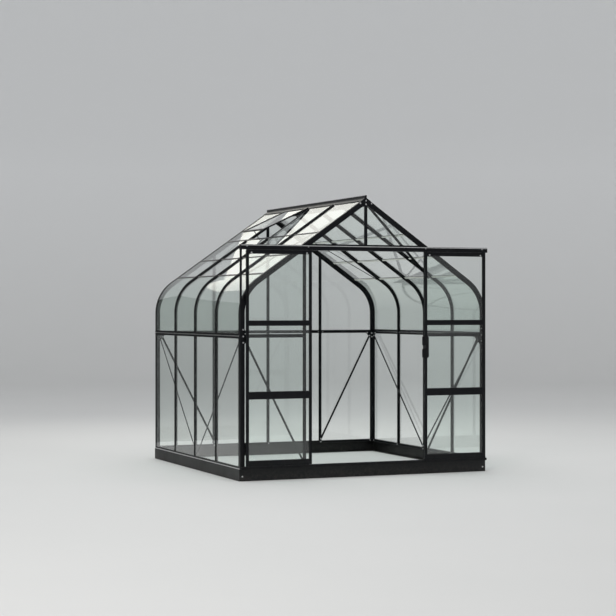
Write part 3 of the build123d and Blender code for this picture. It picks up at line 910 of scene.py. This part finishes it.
def gableSeals(mesh):
    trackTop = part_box("door_track")[1].z
    bar, face = section["halfBar"], section["cornerFace"]
    for wall in ("front", "back"):
        out = -walls[wall][2]
        y = walls[wall][0].y
        for hand in (-1, 1):
            line = bentLine(hand, y, sillTop, seal["top"], face)
            sealLine(mesh, [(spot, -normal, out) for spot, normal in line])
        if wall == "front":
            edges = [(-jamb - bar, -1, sillTop), (jamb + bar, 1, sillTop)]
            edges += [(-bar, -1, trackTop), (bar, 1, trackTop)]
            spans = [(-side + face, -jamb - bar), (jamb + bar, side - face)]
        else:
            edges = [(x + way * bar, way, sillTop) for x in (-bay, 0, bay) for way in (-1, 1)]
            spans = [(-side + face, -bay - bar), (-bay + bar, -bar)]
            spans += [(bar, bay - bar), (bay + bar, side - face)]
        for x, way, foot in edges:
            head = ridge - face / math.cos(pitch) - abs(x) * math.tan(pitch)
            sealStrip(mesh, Vector((x, y, foot)), Vector((x, y, head)), right * way, out)
        for low, high in spans:
            for height, way in levels:
                ends = [Vector((x, y, height)) for x in (low, high)]
                sealStrip(mesh, *ends, up * way, out)


makePiece("side_seals", sealRubber, sideSeals)
makePiece("cross_seals", sealRubber, crossSeals)
makePiece("gable_seals", sealRubber, gableSeals)

# Cappings snapped on the bars: flat on the wall, fuller round the eaves and on the slope
capping = {
    "low": 0.0034,
    "high": 0.011,
    "butt": 0.001,
    "top": 0.0605,
    "belowVent": 0.030,
    "halfSection": (
        (-0.0145, -0.02),
        (-0.0145, 0.09),
        (-0.0112, 0.15),
        (-0.0106, 0.55),
        (-0.0090, 0.84),
        (-0.0052, 0.98),
    ),
}


def barCappings(mesh):
    c = capping
    rise = c["high"] - c["low"]
    edge = section["halfRail"] + c["butt"]
    outline = mirrored(c["halfSection"])
    for hand in (-1, 1):
        out = right * hand
        for index, y in enumerate(stations):
            foot = Vector((hand * side, y, sillTop + c["butt"]))
            head = Vector((hand * side, y, rail - edge))
            strip(mesh, foot, head, inner, out * c["low"], outline)
            top = joints[0] + c["belowVent"] if hand < 0 and index > 0 else c["top"]
            line = bentLine(hand, y, rail + edge, top)
            stops = []
            for step, (spot, outward) in enumerate(line):
                share = min(max(step - 1, 0) / (len(line) - 3), 1)
                stops.append((spot, inner, outward * (c["low"] + rise * share)))
            sweep(mesh, stops, outline)


makePiece("bar_cappings", mouldedPlastic, barCappings, crease=50)

# Joint strips: pale seals behind the roof joints
jointStrip = {
    "inward": 0.012,
    "thick": 0.0016,
    "half": 0.0105,
    "lip": 0.0006,
    "endGap": 0.001,
}


def roofJointStrips(mesh):
    j = jointStrip
    outline = mirrored([(-j["half"], 0), (j["lip"] - j["half"], j["thick"])])
    for hand in (-1, 1):
        down, outward = slopeWays(hand)
        for low, high in bays():
            for seam in joints:
                start = slopePoint(hand, low + j["endGap"], seam, j["inward"])
                end = slopePoint(hand, high - j["endGap"], seam, j["inward"])
                strip(mesh, start, end, down, -outward, outline)


makePiece("joint_strips", palePlastic, roofJointStrips)

# Rail highlights: a flat strip of bright metal as a painted highlight line on the face of each
# side rail, on its flange, and on the sill
railHighlight = {
    "face": 0.003,
    "flange": 0.012,
    "cornerGap": 0.002,
    "endGap": 0.001,
    "outline": ((-0.0036, 0), (-0.0036, 0.0007), (0.0036, 0.0007), (0.0036, 0)),
    "sillOutline": ((0, -0.0002), (0, 0.0020), (0.0055, 0.0020), (0.0066, -0.0002)),
}


def railHighlightStrips(mesh):
    r = railHighlight
    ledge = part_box("left_base")[1].z
    first, last = front + r["cornerGap"], back - r["cornerGap"]
    for hand in (-1, 1):
        out = right * hand
        lengthwise(mesh, hand * (side + r["face"]), first, last, rail, up, out, r["outline"])
        lengthwise(mesh, hand * side, first, last, ledge, up, out, r["sillOutline"])
        x = hand * (side - r["flange"])
        for low, high in bays():
            low, high = low + r["endGap"], high - r["endGap"]
            lengthwise(mesh, x, low, high, rail, up, -out, r["outline"])


makePiece("rail_highlight_strips", paintedHighlightMetal, railHighlightStrips)

# Ridge highlights: a strip of bright metal as a painted highlight line along each upper edge of
# the ridge's crest
ridgeHighlight = {
    "halfCrest": 0.009,
    "endGap": 0.002,
    "outline": ((-0.0040, -0.0002), (-0.0036, 0.0008), (-0.0010, 0.0008), (-0.0006, -0.0002)),
}


def ridgeHighlightStrips(mesh):
    r = ridgeHighlight
    low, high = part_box("ridge_cap")
    first, last = low.y + r["endGap"], high.y - r["endGap"]
    for hand in (-1, 1):
        x = hand * r["halfCrest"]
        lengthwise(mesh, x, first, last, high.z, up, right * hand, r["outline"])


makePiece("ridge_highlight_strips", paintedHighlightMetal, ridgeHighlightStrips)

# Rail covers: strips over the panes above and below each side rail, outside and inside
railCover = {
    "wide": 0.010,
    "ease": 0.002,
    "face": 0.0026,
    "paneFace": -0.0029,
    "paneBack": -0.0071,
    "flange": -0.0118,
    "endGap": 0.0005,
}


def railCovers(mesh):
    r = railCover
    near = section["halfRail"]
    far = near + r["wide"]
    eased = far - r["ease"]
    face, flange = r["face"], r["flange"]
    outer = [(near, r["paneFace"]), (near, face), (eased, face * 0.7), (far, r["paneFace"])]
    inside = [(near, r["paneBack"]), (far, r["paneBack"]), (eased, flange + 0.001), (near, flange)]
    for hand in (-1, 1):
        for low, high in bays():
            low, high = low + r["endGap"], high - r["endGap"]
            for way in (-1, 1):
                for outline in (outer, inside):
                    lengthwise(mesh, hand * side, low, high, rail, up * way, right * hand, outline)


makePiece("rail_covers", mouldedPlastic, railCovers)

# The front roof braces are angles: a flange along one edge of the flat bar
angle = {"high": 0.016, "thick": 0.0028, "edge": 0.0072, "short": 0.012, "ease": 0.001}


def braceFlanges(mesh):
    a = angle
    near, far = a["edge"], a["edge"] + a["thick"]
    centre = a["edge"] + a["thick"] / 2
    deep = -a["high"] + a["ease"]
    outline = [(near, 0.0005), (far, 0.0005), (far, deep), (centre, -a["high"]), (near, deep)]
    for hand in (-1, 1):
        outward = slopeWays(hand)[1]
        head, foot = roofBraceEnds(hand, -1)
        run = (foot - head).normalized()
        across = run.cross(outward) * -hand
        strip(mesh, head + run * a["short"], foot - run * a["short"], across, outward, outline)


makePiece("roof_brace_flanges", blackCoat, braceFlanges, slotName="frame")

# Doors: glazing beads, corner screws and hanger bolts
door = {
    "stile": 0.024,
    "rails": ((0.139, 0.185), (0.757, 0.820), (1.436, 1.478), (2.102, 2.132)),
    "twoScrews": 0.04,
    "screw": 0.0034,
    "paneFace": 0.0022,
    "bead": ((0, 0), (0.0042, 0), (0.0036, 0.0016), (0.0012, 0.0034), (0, 0.0036)),
    "hangerInset": 0.050,
    "hangerBolt": 2.109,
}


def doorFaces(body):
    low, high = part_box(body + "_frame")
    return low.x, high.x, low.y, high.y, (low.y + high.y) / 2


def doorBeads(mesh, body):
    lowX, highX, _, _, centre = doorFaces(body)
    x1, x2 = lowX + door["stile"], highX - door["stile"]
    for (_, z1), (z2, _) in zip(door["rails"], door["rails"][1:]):
        for out in (-inner, inner):
            y = centre + out.y * door["paneFace"]
            corners = [Vector((x, y, z)) for x, z in ((x1, z1), (x2, z1), (x2, z2), (x1, z2))]
            for index, across in enumerate((up, -right, -up, right)):
                strip(mesh, corners[index], corners[(index + 1) % 4], across, out, door["bead"])


def doorScrews(mesh, body):
    # two at each end of a tall rail, one at each end of a low one
    lowX, highX, faceY, rearY, _ = doorFaces(body)
    for x in (lowX + door["stile"] / 2, highX - door["stile"] / 2):
        for low, high in door["rails"]:
            apart = (high - low) / 4 if high - low > door["twoScrews"] else 0
            for z in sorted({(low + high) / 2 - apart, (low + high) / 2 + apart}):
                screw(mesh, Vector((x, faceY, z)), -inner, door["screw"])
                screw(mesh, Vector((x, rearY, z)), inner, door["screw"])


def hangerBolts(mesh, body):
    lowX, highX, faceY, rearY, _ = doorFaces(body)
    for x in (lowX + door["hangerInset"], highX - door["hangerInset"]):
        boltHead(mesh, Vector((x, faceY, door["hangerBolt"])), -inner)
        nut(mesh, Vector((x, rearY, door["hangerBolt"])), inner)


for body in ("left_door", "right_door"):
    makePiece(body + "_beads", sealRubber, doorBeads, body, body=body)
    makePiece(body + "_screws", mouldedPlastic, doorScrews, body, body=body)
    makePiece(body + "_bolts", zincSteel, hangerBolts, body, body=body)

# Hangers: a plate with a foot on the top rail, and a nylon wheel on each side of it
hanger = {
    "wide": 0.034,
    "thick": 0.004,
    "corner": 0.010,
    "ease": 0.0006,
    "foot": (0.040, 0.014, 0.0018),
    "footEase": 0.0005,
    "wheel": 0.011,
    "wheelWide": 0.007,
    "aboveTrack": 0.0143,
    "pin": ((0, 0), (0.0030, 0), (0.0028, 0.0007), (0.0020, 0.0010), (0, 0.0010)),
    "halfRim": (
        (0, 0),
        (0.0042, 0),
        (0.0042, 0.0007),
        (0.0080, 0.0009),
        (0.0100, 0.0003),
        (0.0107, 0.0007),
        (0.0110, 0.0014),
    ),
}


def hangerPlaces(body):
    lowX, highX, _, _, centre = doorFaces(body)
    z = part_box("door_track")[0].z + hanger["aboveTrack"]
    places = (lowX + door["hangerInset"], highX - door["hangerInset"])
    return [Vector((x, centre, z)) for x in places]


def hangerPlates(mesh, body):
    h = hanger
    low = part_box(body + "_frame")[1].z
    for hub in hangerPlaces(body):
        x1, x2 = hub.x - h["wide"] / 2, hub.x + h["wide"] / 2
        top = hub.z + h["wheel"] - 0.0003
        rounded = roundCorners([(x2, low), (x2, top), (x1, top), (x1, low)], h["corner"])
        outline = [Vector((x1, low)), Vector((x2, low)), *rounded[6:18]]  # only the upper two
        slab(mesh, upright(hub.y + h["thick"] / 2), outline, h["thick"], h["ease"], 2)
        long, wide, thick = h["foot"]
        start = Vector((hub.x - long / 2, hub.y - wide / 2, low))
        end = Vector((hub.x + long / 2, hub.y + wide / 2, low + thick))
        block(mesh, start, end, h["footEase"])
        for way in (-1, 1):
            spot = hub + inner * way * (h["thick"] / 2 + h["wheelWide"])
            lathe(mesh, seat(spot, inner * way), h["pin"], 12)


def hangerWheels(mesh, body):
    near, wide = hanger["halfRim"], hanger["wheelWide"]
    rim = [*near, *((radius, wide - height) for radius, height in reversed(near))]
    for hub in hangerPlaces(body):
        for way in (-1, 1):
            spot = hub + inner * way * hanger["thick"] / 2
            lathe(mesh, seat(spot, inner * way), rim, 28)


for body in ("left_door", "right_door"):
    plates, hidden = body + "_hanger_plates", (body + "_hangers",)
    makePiece(plates, zincSteel, hangerPlates, body, body=body, stands=hidden)
    makePiece(body + "_wheels", wheelNylon, hangerWheels, body, body=body, slotName="roller")

# The handle: one moulding with two grips that reach past the leading stile
handle = {
    "stile": 0.028,
    "grip": 0.086,
    "front": 0.018,
    "lap": 0.0176,
    "corner": 0.0098,
    "ease": 0.0045,
    "screwInset": 0.014,
    "screwRadius": 0.0040,
}


def rightHandle(mesh):
    h = handle
    low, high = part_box("right_door_handle")
    edge = high.x - h["stile"]
    upper, lower = high.z - h["grip"], low.z + h["grip"]
    corners = [(high.x, low.z), (high.x, high.z), (low.x, high.z), (low.x, upper)]
    corners += [(edge, upper), (edge, lower), (low.x, lower), (low.x, low.z)]
    outline = roundCorners(corners, h["corner"])
    slab(mesh, upright(low.y + h["front"]), outline, h["front"], h["ease"], 4)
    corners = [(edge, low.z), (high.x, low.z), (high.x, high.z), (edge, high.z)]
    foot = roundCorners(corners, h["corner"])
    slab(mesh, upright(high.y), foot, high.y - low.y - h["lap"], 0.0, 1)


def handleScrews(mesh):
    # from the back, through the stile
    inset = handle["screwInset"]
    low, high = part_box("right_door_handle")
    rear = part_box("right_door_frame")[1].y
    for z in (low.z + inset, (low.z + high.z) / 2, high.z - inset):
        screw(mesh, Vector((high.x - inset, rear, z)), inner, handle["screwRadius"])


# The keep plate that the handle meets, on the other door
keep = {"corner": 0.006, "ease": 0.0012}


def keepPlate(mesh):
    low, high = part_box("left_door_handle")
    corners = [(low.x, low.z), (high.x, low.z), (high.x, high.z), (low.x, high.z)]
    outline = roundCorners(corners, keep["corner"])
    slab(mesh, upright(high.y), outline, high.y - low.y, keep["ease"])


for name, fit, body in (
    ("right_door_grips", rightHandle, "right_door"),
    ("left_door_keep", keepPlate, "left_door"),
):
    ways = {"body": body, "slotName": "handle", "stands": (body + "_handle",)}
    makePiece(name, mouldedPlastic, fit, crease=40, **ways)
makePiece("right_door_handle_screws", zincSteel, handleScrews, body="right_door")

# Brush strips on the jambs, that close the gap behind the doors, and on the doors' top rails
brush = {
    "carrier": 0.006,
    "carrierDeep": 0.004,
    "rise": 0.030,
    "drop": 0.004,
    "rootIn": 0.002,
    "pile": 0.0185,
    "pitch": 0.0042,
    "thick": 0.0011,
    "wide": 0.003,
    "uneven": 0.0016,
    "endGap": 0.004,
    "taper": 0.6,
}


def brushCarriers(mesh):
    low = sillTop + brush["rise"]
    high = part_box("door_track")[0].z - brush["drop"]
    w, d = brush["carrier"] / 2, brush["carrierDeep"]
    outline = [(-w, 0), (w, 0), (w, d * 0.6), (w * 0.5, d), (-w * 0.5, d), (-w, d * 0.6)]
    for x in (-jamb, jamb):
        strip(mesh, Vector((x, front, low)), Vector((x, front, high)), right, -inner, outline)


def bristles(mesh):
    b = brush
    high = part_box("door_track")[0].z - b["drop"] - b["endGap"]
    w, t = b["wide"] / 2, b["thick"] / 2
    outline = [(-w, -t), (w, -t), (w * 0.8, t), (-w * 0.8, t)]
    narrow = right * b["taper"], up * b["taper"]
    for x in (-jamb, jamb):
        z = sillTop + b["rise"] + b["endGap"]
        while z < high:
            sideways = random.uniform(-0.0012, 0.0012)
            lean = Vector((sideways, 0, random.uniform(-b["uneven"], b["uneven"])))
            reach = -inner * (b["pile"] - random.uniform(0, b["uneven"])) + lean
            root = Vector((x, front - b["rootIn"], z))
            tip = root + reach + inner * b["rootIn"]
            sweep(mesh, [(root, right, up), (tip, *narrow)], outline)
            z += b["pitch"]


makePiece("brush_carriers", mouldedPlastic, brushCarriers)
makePiece("brush_pile", brushPile, bristles)

# A row of tufts on the front edge of each top rail, up to just below the track
tuft = {
    "endGap": 0.001,
    "carrier": (0.0006, 0.0046, 0.0016),
    "ease": 0.0004,
    "root": (0.0026, 0.001),
    "pitch": 0.0021,
    "wide": 0.003,
    "thick": 0.0022,
    "lean": 0.0006,
    "uneven": 0.0005,
    "clear": 0.0004,
}


def topBrush(mesh, body):
    t = tuft
    lowX, highX, faceY, _, _ = doorFaces(body)
    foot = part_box(body + "_frame")[1].z
    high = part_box("door_track")[0].z - foot - t["clear"]
    near, far, tall = t["carrier"]
    start = Vector((lowX + t["endGap"], faceY + near, foot - 0.0002))
    end = Vector((highX - t["endGap"], faceY + far, foot + tall))
    block(mesh, start, end, t["ease"])
    inward, rise = t["root"]
    w, d = t["wide"] / 2, t["thick"] / 2
    outline = [(-w, -d), (w, -d), (w, d), (-w, d)]
    x = lowX + t["endGap"] * 2
    while x < highX - t["endGap"] * 2:
        lean = random.uniform(-t["lean"], t["lean"])
        root = Vector((x, faceY + inward, foot + rise))
        reach = high - random.uniform(0, t["uneven"])
        tip = Vector((x + lean, faceY + inward + lean / 2, foot + reach))
        sweep(mesh, [(root, inner, right), (tip, inner, right * 1.05)], outline)
        x += t["pitch"]


for body in ("left_door", "right_door"):
    makePiece(body + "_brush", brushPile, topBrush, body, body=body)

# Track: a bright metal bead along the upper edge as a painted highlight line, and caps in the open
# ends
trackHighlightAndCaps = {
    "drop": 0.003,
    "tall": 0.007,
    "proud": 0.0022,
    "ease": 0.0008,
    "endGap": 0.001,
    "capFrom": 0.0005,
    "capTo": 0.004,
    "capDeep": (0.0034, 0.0306),
    "capTall": (0.0005, 0.0034),
}


def trackHighlightBead(mesh):
    t = trackHighlightAndCaps
    low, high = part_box("door_track")
    tall, proud, ease = t["tall"], t["proud"], t["ease"]
    outline = [(0, -0.0002), (ease, proud * 0.8), (tall / 2, proud)]
    outline += [(tall - ease, proud * 0.8), (tall, -0.0002)]
    z = high.z - t["drop"]
    start, end = Vector((low.x + t["endGap"], low.y, z)), Vector((high.x - t["endGap"], low.y, z))
    strip(mesh, start, end, -up, -inner, outline)


def trackCaps(mesh):
    t = trackHighlightAndCaps
    low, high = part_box("door_track")
    (y1, y2), (rise, drop) = t["capDeep"], t["capTall"]
    for hand in (-1, 1):
        x1, x2 = sorted((hand * (high.x - t["capFrom"]), hand * (high.x - t["capTo"])))
        start = Vector((x1, low.y + y1, low.z + rise))
        block(mesh, start, Vector((x2, low.y + y2, high.z - drop)), t["ease"])


makePiece("track_highlight_bead", paintedHighlightMetal, trackHighlightBead)
makePiece("track_end_caps", mouldedPlastic, trackCaps)

# Vent: a stay with a row of holes, and two pegs for it
vent = {
    "turn": math.radians(10),
    "hinge": 0.061,
    "overhang": 0.018,
    "bar": 0.024,
    "stayWide": 0.014,
    "stayThick": 0.004,
    "stayGap": 0.001,
    "holes": 5,
    "hole": 0.0026,
    "peg": 0.0024,
    "pegFoot": (0.0012, 0.0014),
    "pegEase": 0.0008,
    "pegHigh": 0.009,
    "pegApart": 0.030,
}


def perforatedBar(mesh, place, size, count, radius):
    # local x along the bar, y across it, z through it; the holes are cut right through
    long, wide, thick = size
    cell = long / count
    corner = math.atan2(wide, cell)
    turned = (corner, math.pi - corner, math.pi + corner, 2 * math.pi - corner)
    angles = sorted({math.pi / 6 * step for step in range(12)} | set(turned))
    for number in range(count):
        centre = (number + 0.5) * cell
        rings = []
        for angle in angles:
            c, s = math.cos(angle), math.sin(angle)
            out = min(cell / 2 / max(abs(c), 1e-6), wide / 2 / max(abs(s), 1e-6))
            for distance in (radius, out):
                for z in (0, thick):
                    spot = Vector((centre + distance * c, distance * s, z))
                    rings.append(mesh.verts.new(place @ spot))
        for step in range(len(angles)):
            after = (step + 1) % len(angles)
            a, b = rings[step * 4 : step * 4 + 4], rings[after * 4 : after * 4 + 4]
            mesh.faces.new((a[0], b[0], b[2], a[2]))
            mesh.faces.new((a[1], a[3], b[3], b[1]))
            mesh.faces.new((a[0], a[1], b[1], b[0]))
            span = (angles[after] - angles[step]) % (2 * math.pi)
            turn = (angles[step] + span / 2) % (2 * math.pi)
            upper = turned[0] < turn < turned[1]
            lower = turned[2] < turn < turned[3]
            start = number == 0 and turned[1] < turn < turned[2]
            end = number == count - 1 and (turn < turned[0] or turn > turned[3])
            if upper or lower or start or end:
                mesh.faces.new((a[2], b[2], b[3], a[3]))
    bmesh.ops.remove_doubles(mesh, verts=mesh.verts, dist=1e-6)


def ventStay(mesh):
    v = vent
    y = stations[1] + bay / 2
    slope = pitch - v["turn"]
    hinge = slopePoint(-1, y, v["hinge"], -0.0003)
    reach = joints[0] + v["overhang"] - v["hinge"] - v["bar"] / 2
    grip = hinge + Vector((-math.cos(slope), 0, -math.sin(slope))) * reach
    foot = slopePoint(-1, y, joints[0], 0)
    along = (grip - foot).normalized()
    across = along.cross(inner)
    start = foot + along * v["stayGap"] - across * v["stayThick"] / 2
    facing = Matrix((along, inner, across)).transposed().to_4x4()
    size = ((grip - foot).length - v["stayGap"], v["stayWide"], v["stayThick"])
    perforatedBar(mesh, Matrix.Translation(start) @ facing, size, v["holes"], v["hole"])
    peg, top, (low, high) = v["peg"], v["pegHigh"], v["pegFoot"]
    profile = [(0, 0), (peg * 1.8, 0), (peg * 1.8, low), (peg, high)]
    profile += [(peg, top - v["pegEase"]), (peg * 0.6, top), (0, top)]
    for way in (-1, 1):
        spot = slopePoint(-1, y + way * v["pegApart"], joints[0], 0)
        lathe(mesh, seat(spot, slopeWays(-1)[1]), profile, 14)


makePiece("vent_stay_bar", blackCoat, ventStay, slotName="frame", stands=("vent_stay",))

# The vent's hinge: a row of knuckles along the ridge
hinge = {
    "knuckles": 5,
    "inset": 0.02,
    "gap": 0.001,
    "radius": 0.0042,
    "neck": 0.0035,
    "ease": 0.0008,
    "past": 0.001,
    "drop": 0.004,
}


def ventHinge(mesh):
    h = hinge
    low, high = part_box("vent_frame")
    span = (high.y - low.y - h["inset"] * 2) / h["knuckles"]
    radius, neck, end = h["radius"], h["neck"], span - h["gap"] * 2
    profile = [(0, 0), (neck, 0), (radius, h["ease"])]
    profile += [(radius, end - h["gap"]), (neck, end), (0, end)]
    for index in range(h["knuckles"]):
        y = low.y + h["inset"] + index * span
        spot = Vector((high.x + h["past"], y + h["gap"], high.z - h["drop"]))
        lathe(mesh, seat(spot, inner), profile, 12)


makePiece("vent_hinge", blackCoat, ventHinge, slotName="frame")
print("pieces built")

# Stage: a pale floor that rises into a ring of wall
stageSizes = {
    "rings": (0, 4, 9, 14),
    "flat": 19.0,
    "bend": 6.0,
    "wall": 16.0,
    "steps": 10,
    "sides": 96,
    "below": 0.0005,
}


def makeStage():
    s = stageSizes
    profile = [(radius, 0) for radius in s["rings"]]
    for step in range(s["steps"] + 1):
        angle = math.pi / 2 * step / s["steps"]
        reach, rise = s["bend"] * math.sin(angle), s["bend"] * (1 - math.cos(angle))
        profile.append((s["flat"] + reach, rise))
    profile.append((s["flat"] + s["bend"], s["wall"]))
    mesh = bmesh.new()
    lathe(mesh, Matrix.Identity(4), profile, s["sides"])
    bmesh.ops.recalc_face_normals(mesh, faces=mesh.faces)
    bmesh.ops.reverse_faces(mesh, faces=mesh.faces)
    finish, tree, shader = newFinish("paleFloor")
    spots = addNode(tree, "TexCoord").outputs["Object"]
    cloud = noise(tree, spots, 0.6, 4.0)
    tone = mixColours(tree, cloud, colour(0.63, 0.635, 0.63), colour(0.66, 0.66, 0.655))
    raised = spread(tree, upPart(tree, spots), 0.0, 5.0)
    tone = mixColours(tree, raised, tone, colour(0.86, 0.865, 0.87))
    values = {"Base Color": tone, "Roughness": 0.85, "Specular IOR Level": 0.15}
    setInputs(tree, shader.inputs, values)
    floor = meshObject("stage_floor", mesh, finish)
    floor.data.shade_smooth()
    floor.location.z = -s["below"]


# The flag: a dark card behind the left corner, that only the sheen on the left panes shows
card = {
    "low": (-4.1, 3.4, 0.0),
    "high": (-1.75, 3.42, 2.5),
    "ease": 0.004,
    "tone": colour(0.05, 0.055, 0.05),
    "roughness": 0.9,
}


def makeFlag():
    mesh = bmesh.new()
    block(mesh, Vector(card["low"]), Vector(card["high"]), card["ease"])
    finish, tree, shader = newFinish("flagCloth")
    values = {"Base Color": card["tone"], "Roughness": card["roughness"]}
    setInputs(tree, shader.inputs, values)
    flag = meshObject("dark_flag", mesh, finish)
    flag.visible_camera = False
    flag.visible_diffuse = False
    flag.visible_transmission = False
    flag.visible_shadow = False


def softLamp(name, place, target, size, power, tone):
    lamp = bpy.data.lights.new(name, "AREA")
    lamp.shape = "RECTANGLE"
    lamp.size, lamp.size_y = size
    lamp.energy = power
    lamp.color = tone
    holder = bpy.data.objects.new(name, lamp)
    holder.location = place
    holder.rotation_euler = (Vector(target) - Vector(place)).to_track_quat("-Z", "Y").to_euler()
    holder.visible_camera = False
    holder.visible_transmission = False
    scene.collection.objects.link(holder)


makeStage()
makeFlag()
softLamp("overhead", (0.0, 0.0, 8.0), (0.0, 0.0, 0.0), (7.0, 7.0), 230.0, (1.0, 1.0, 1.0))
softLamp("key", (-8.0, -9.5, 7.0), (0.0, 0.0, 1.0), (4.0, 4.0), 420.0, (1.0, 0.98, 0.95))
softLamp("sky", (0.6, 5.6, 5.45), (-0.4, -0.8, 1.95), (6.0, 3.0), 72.0, (1.0, 0.985, 0.88))

sky = {"low": colour(0.50, 0.51, 0.52), "high": colour(0.78, 0.79, 0.80), "strength": 1.0}
world = bpy.data.worlds.new("studio")
world.use_nodes = True
tree = world.node_tree
spots = addNode(tree, "TexCoord").outputs["Generated"]
shade = mixColours(tree, spread(tree, upPart(tree, spots), 0.0, 1.0), sky["low"], sky["high"])
setInputs(tree, tree.nodes["Background"].inputs, {"Color": shade, "Strength": sky["strength"]})
scene.world = world
print("stage and lamps placed")

# The camera, at the photograph's angle
view = {
    "place": (-6.628, -15.61, 1.589),
    "turn": (math.radians(90.03), 0.0, math.radians(-22.78)),
    "lens": 97.165,
    "sensor": 36.0,
    "farthest": 200.0,
}
camera = bpy.data.cameras.new("viewpoint")
camera.lens = view["lens"]
camera.sensor_width = view["sensor"]
camera.clip_end = view["farthest"]
viewpoint = bpy.data.objects.new("viewpoint", camera)
viewpoint.location = view["place"]
viewpoint.rotation_euler = view["turn"]
scene.collection.objects.link(viewpoint)
scene.camera = viewpoint
scene.view_settings.view_transform = "Standard"
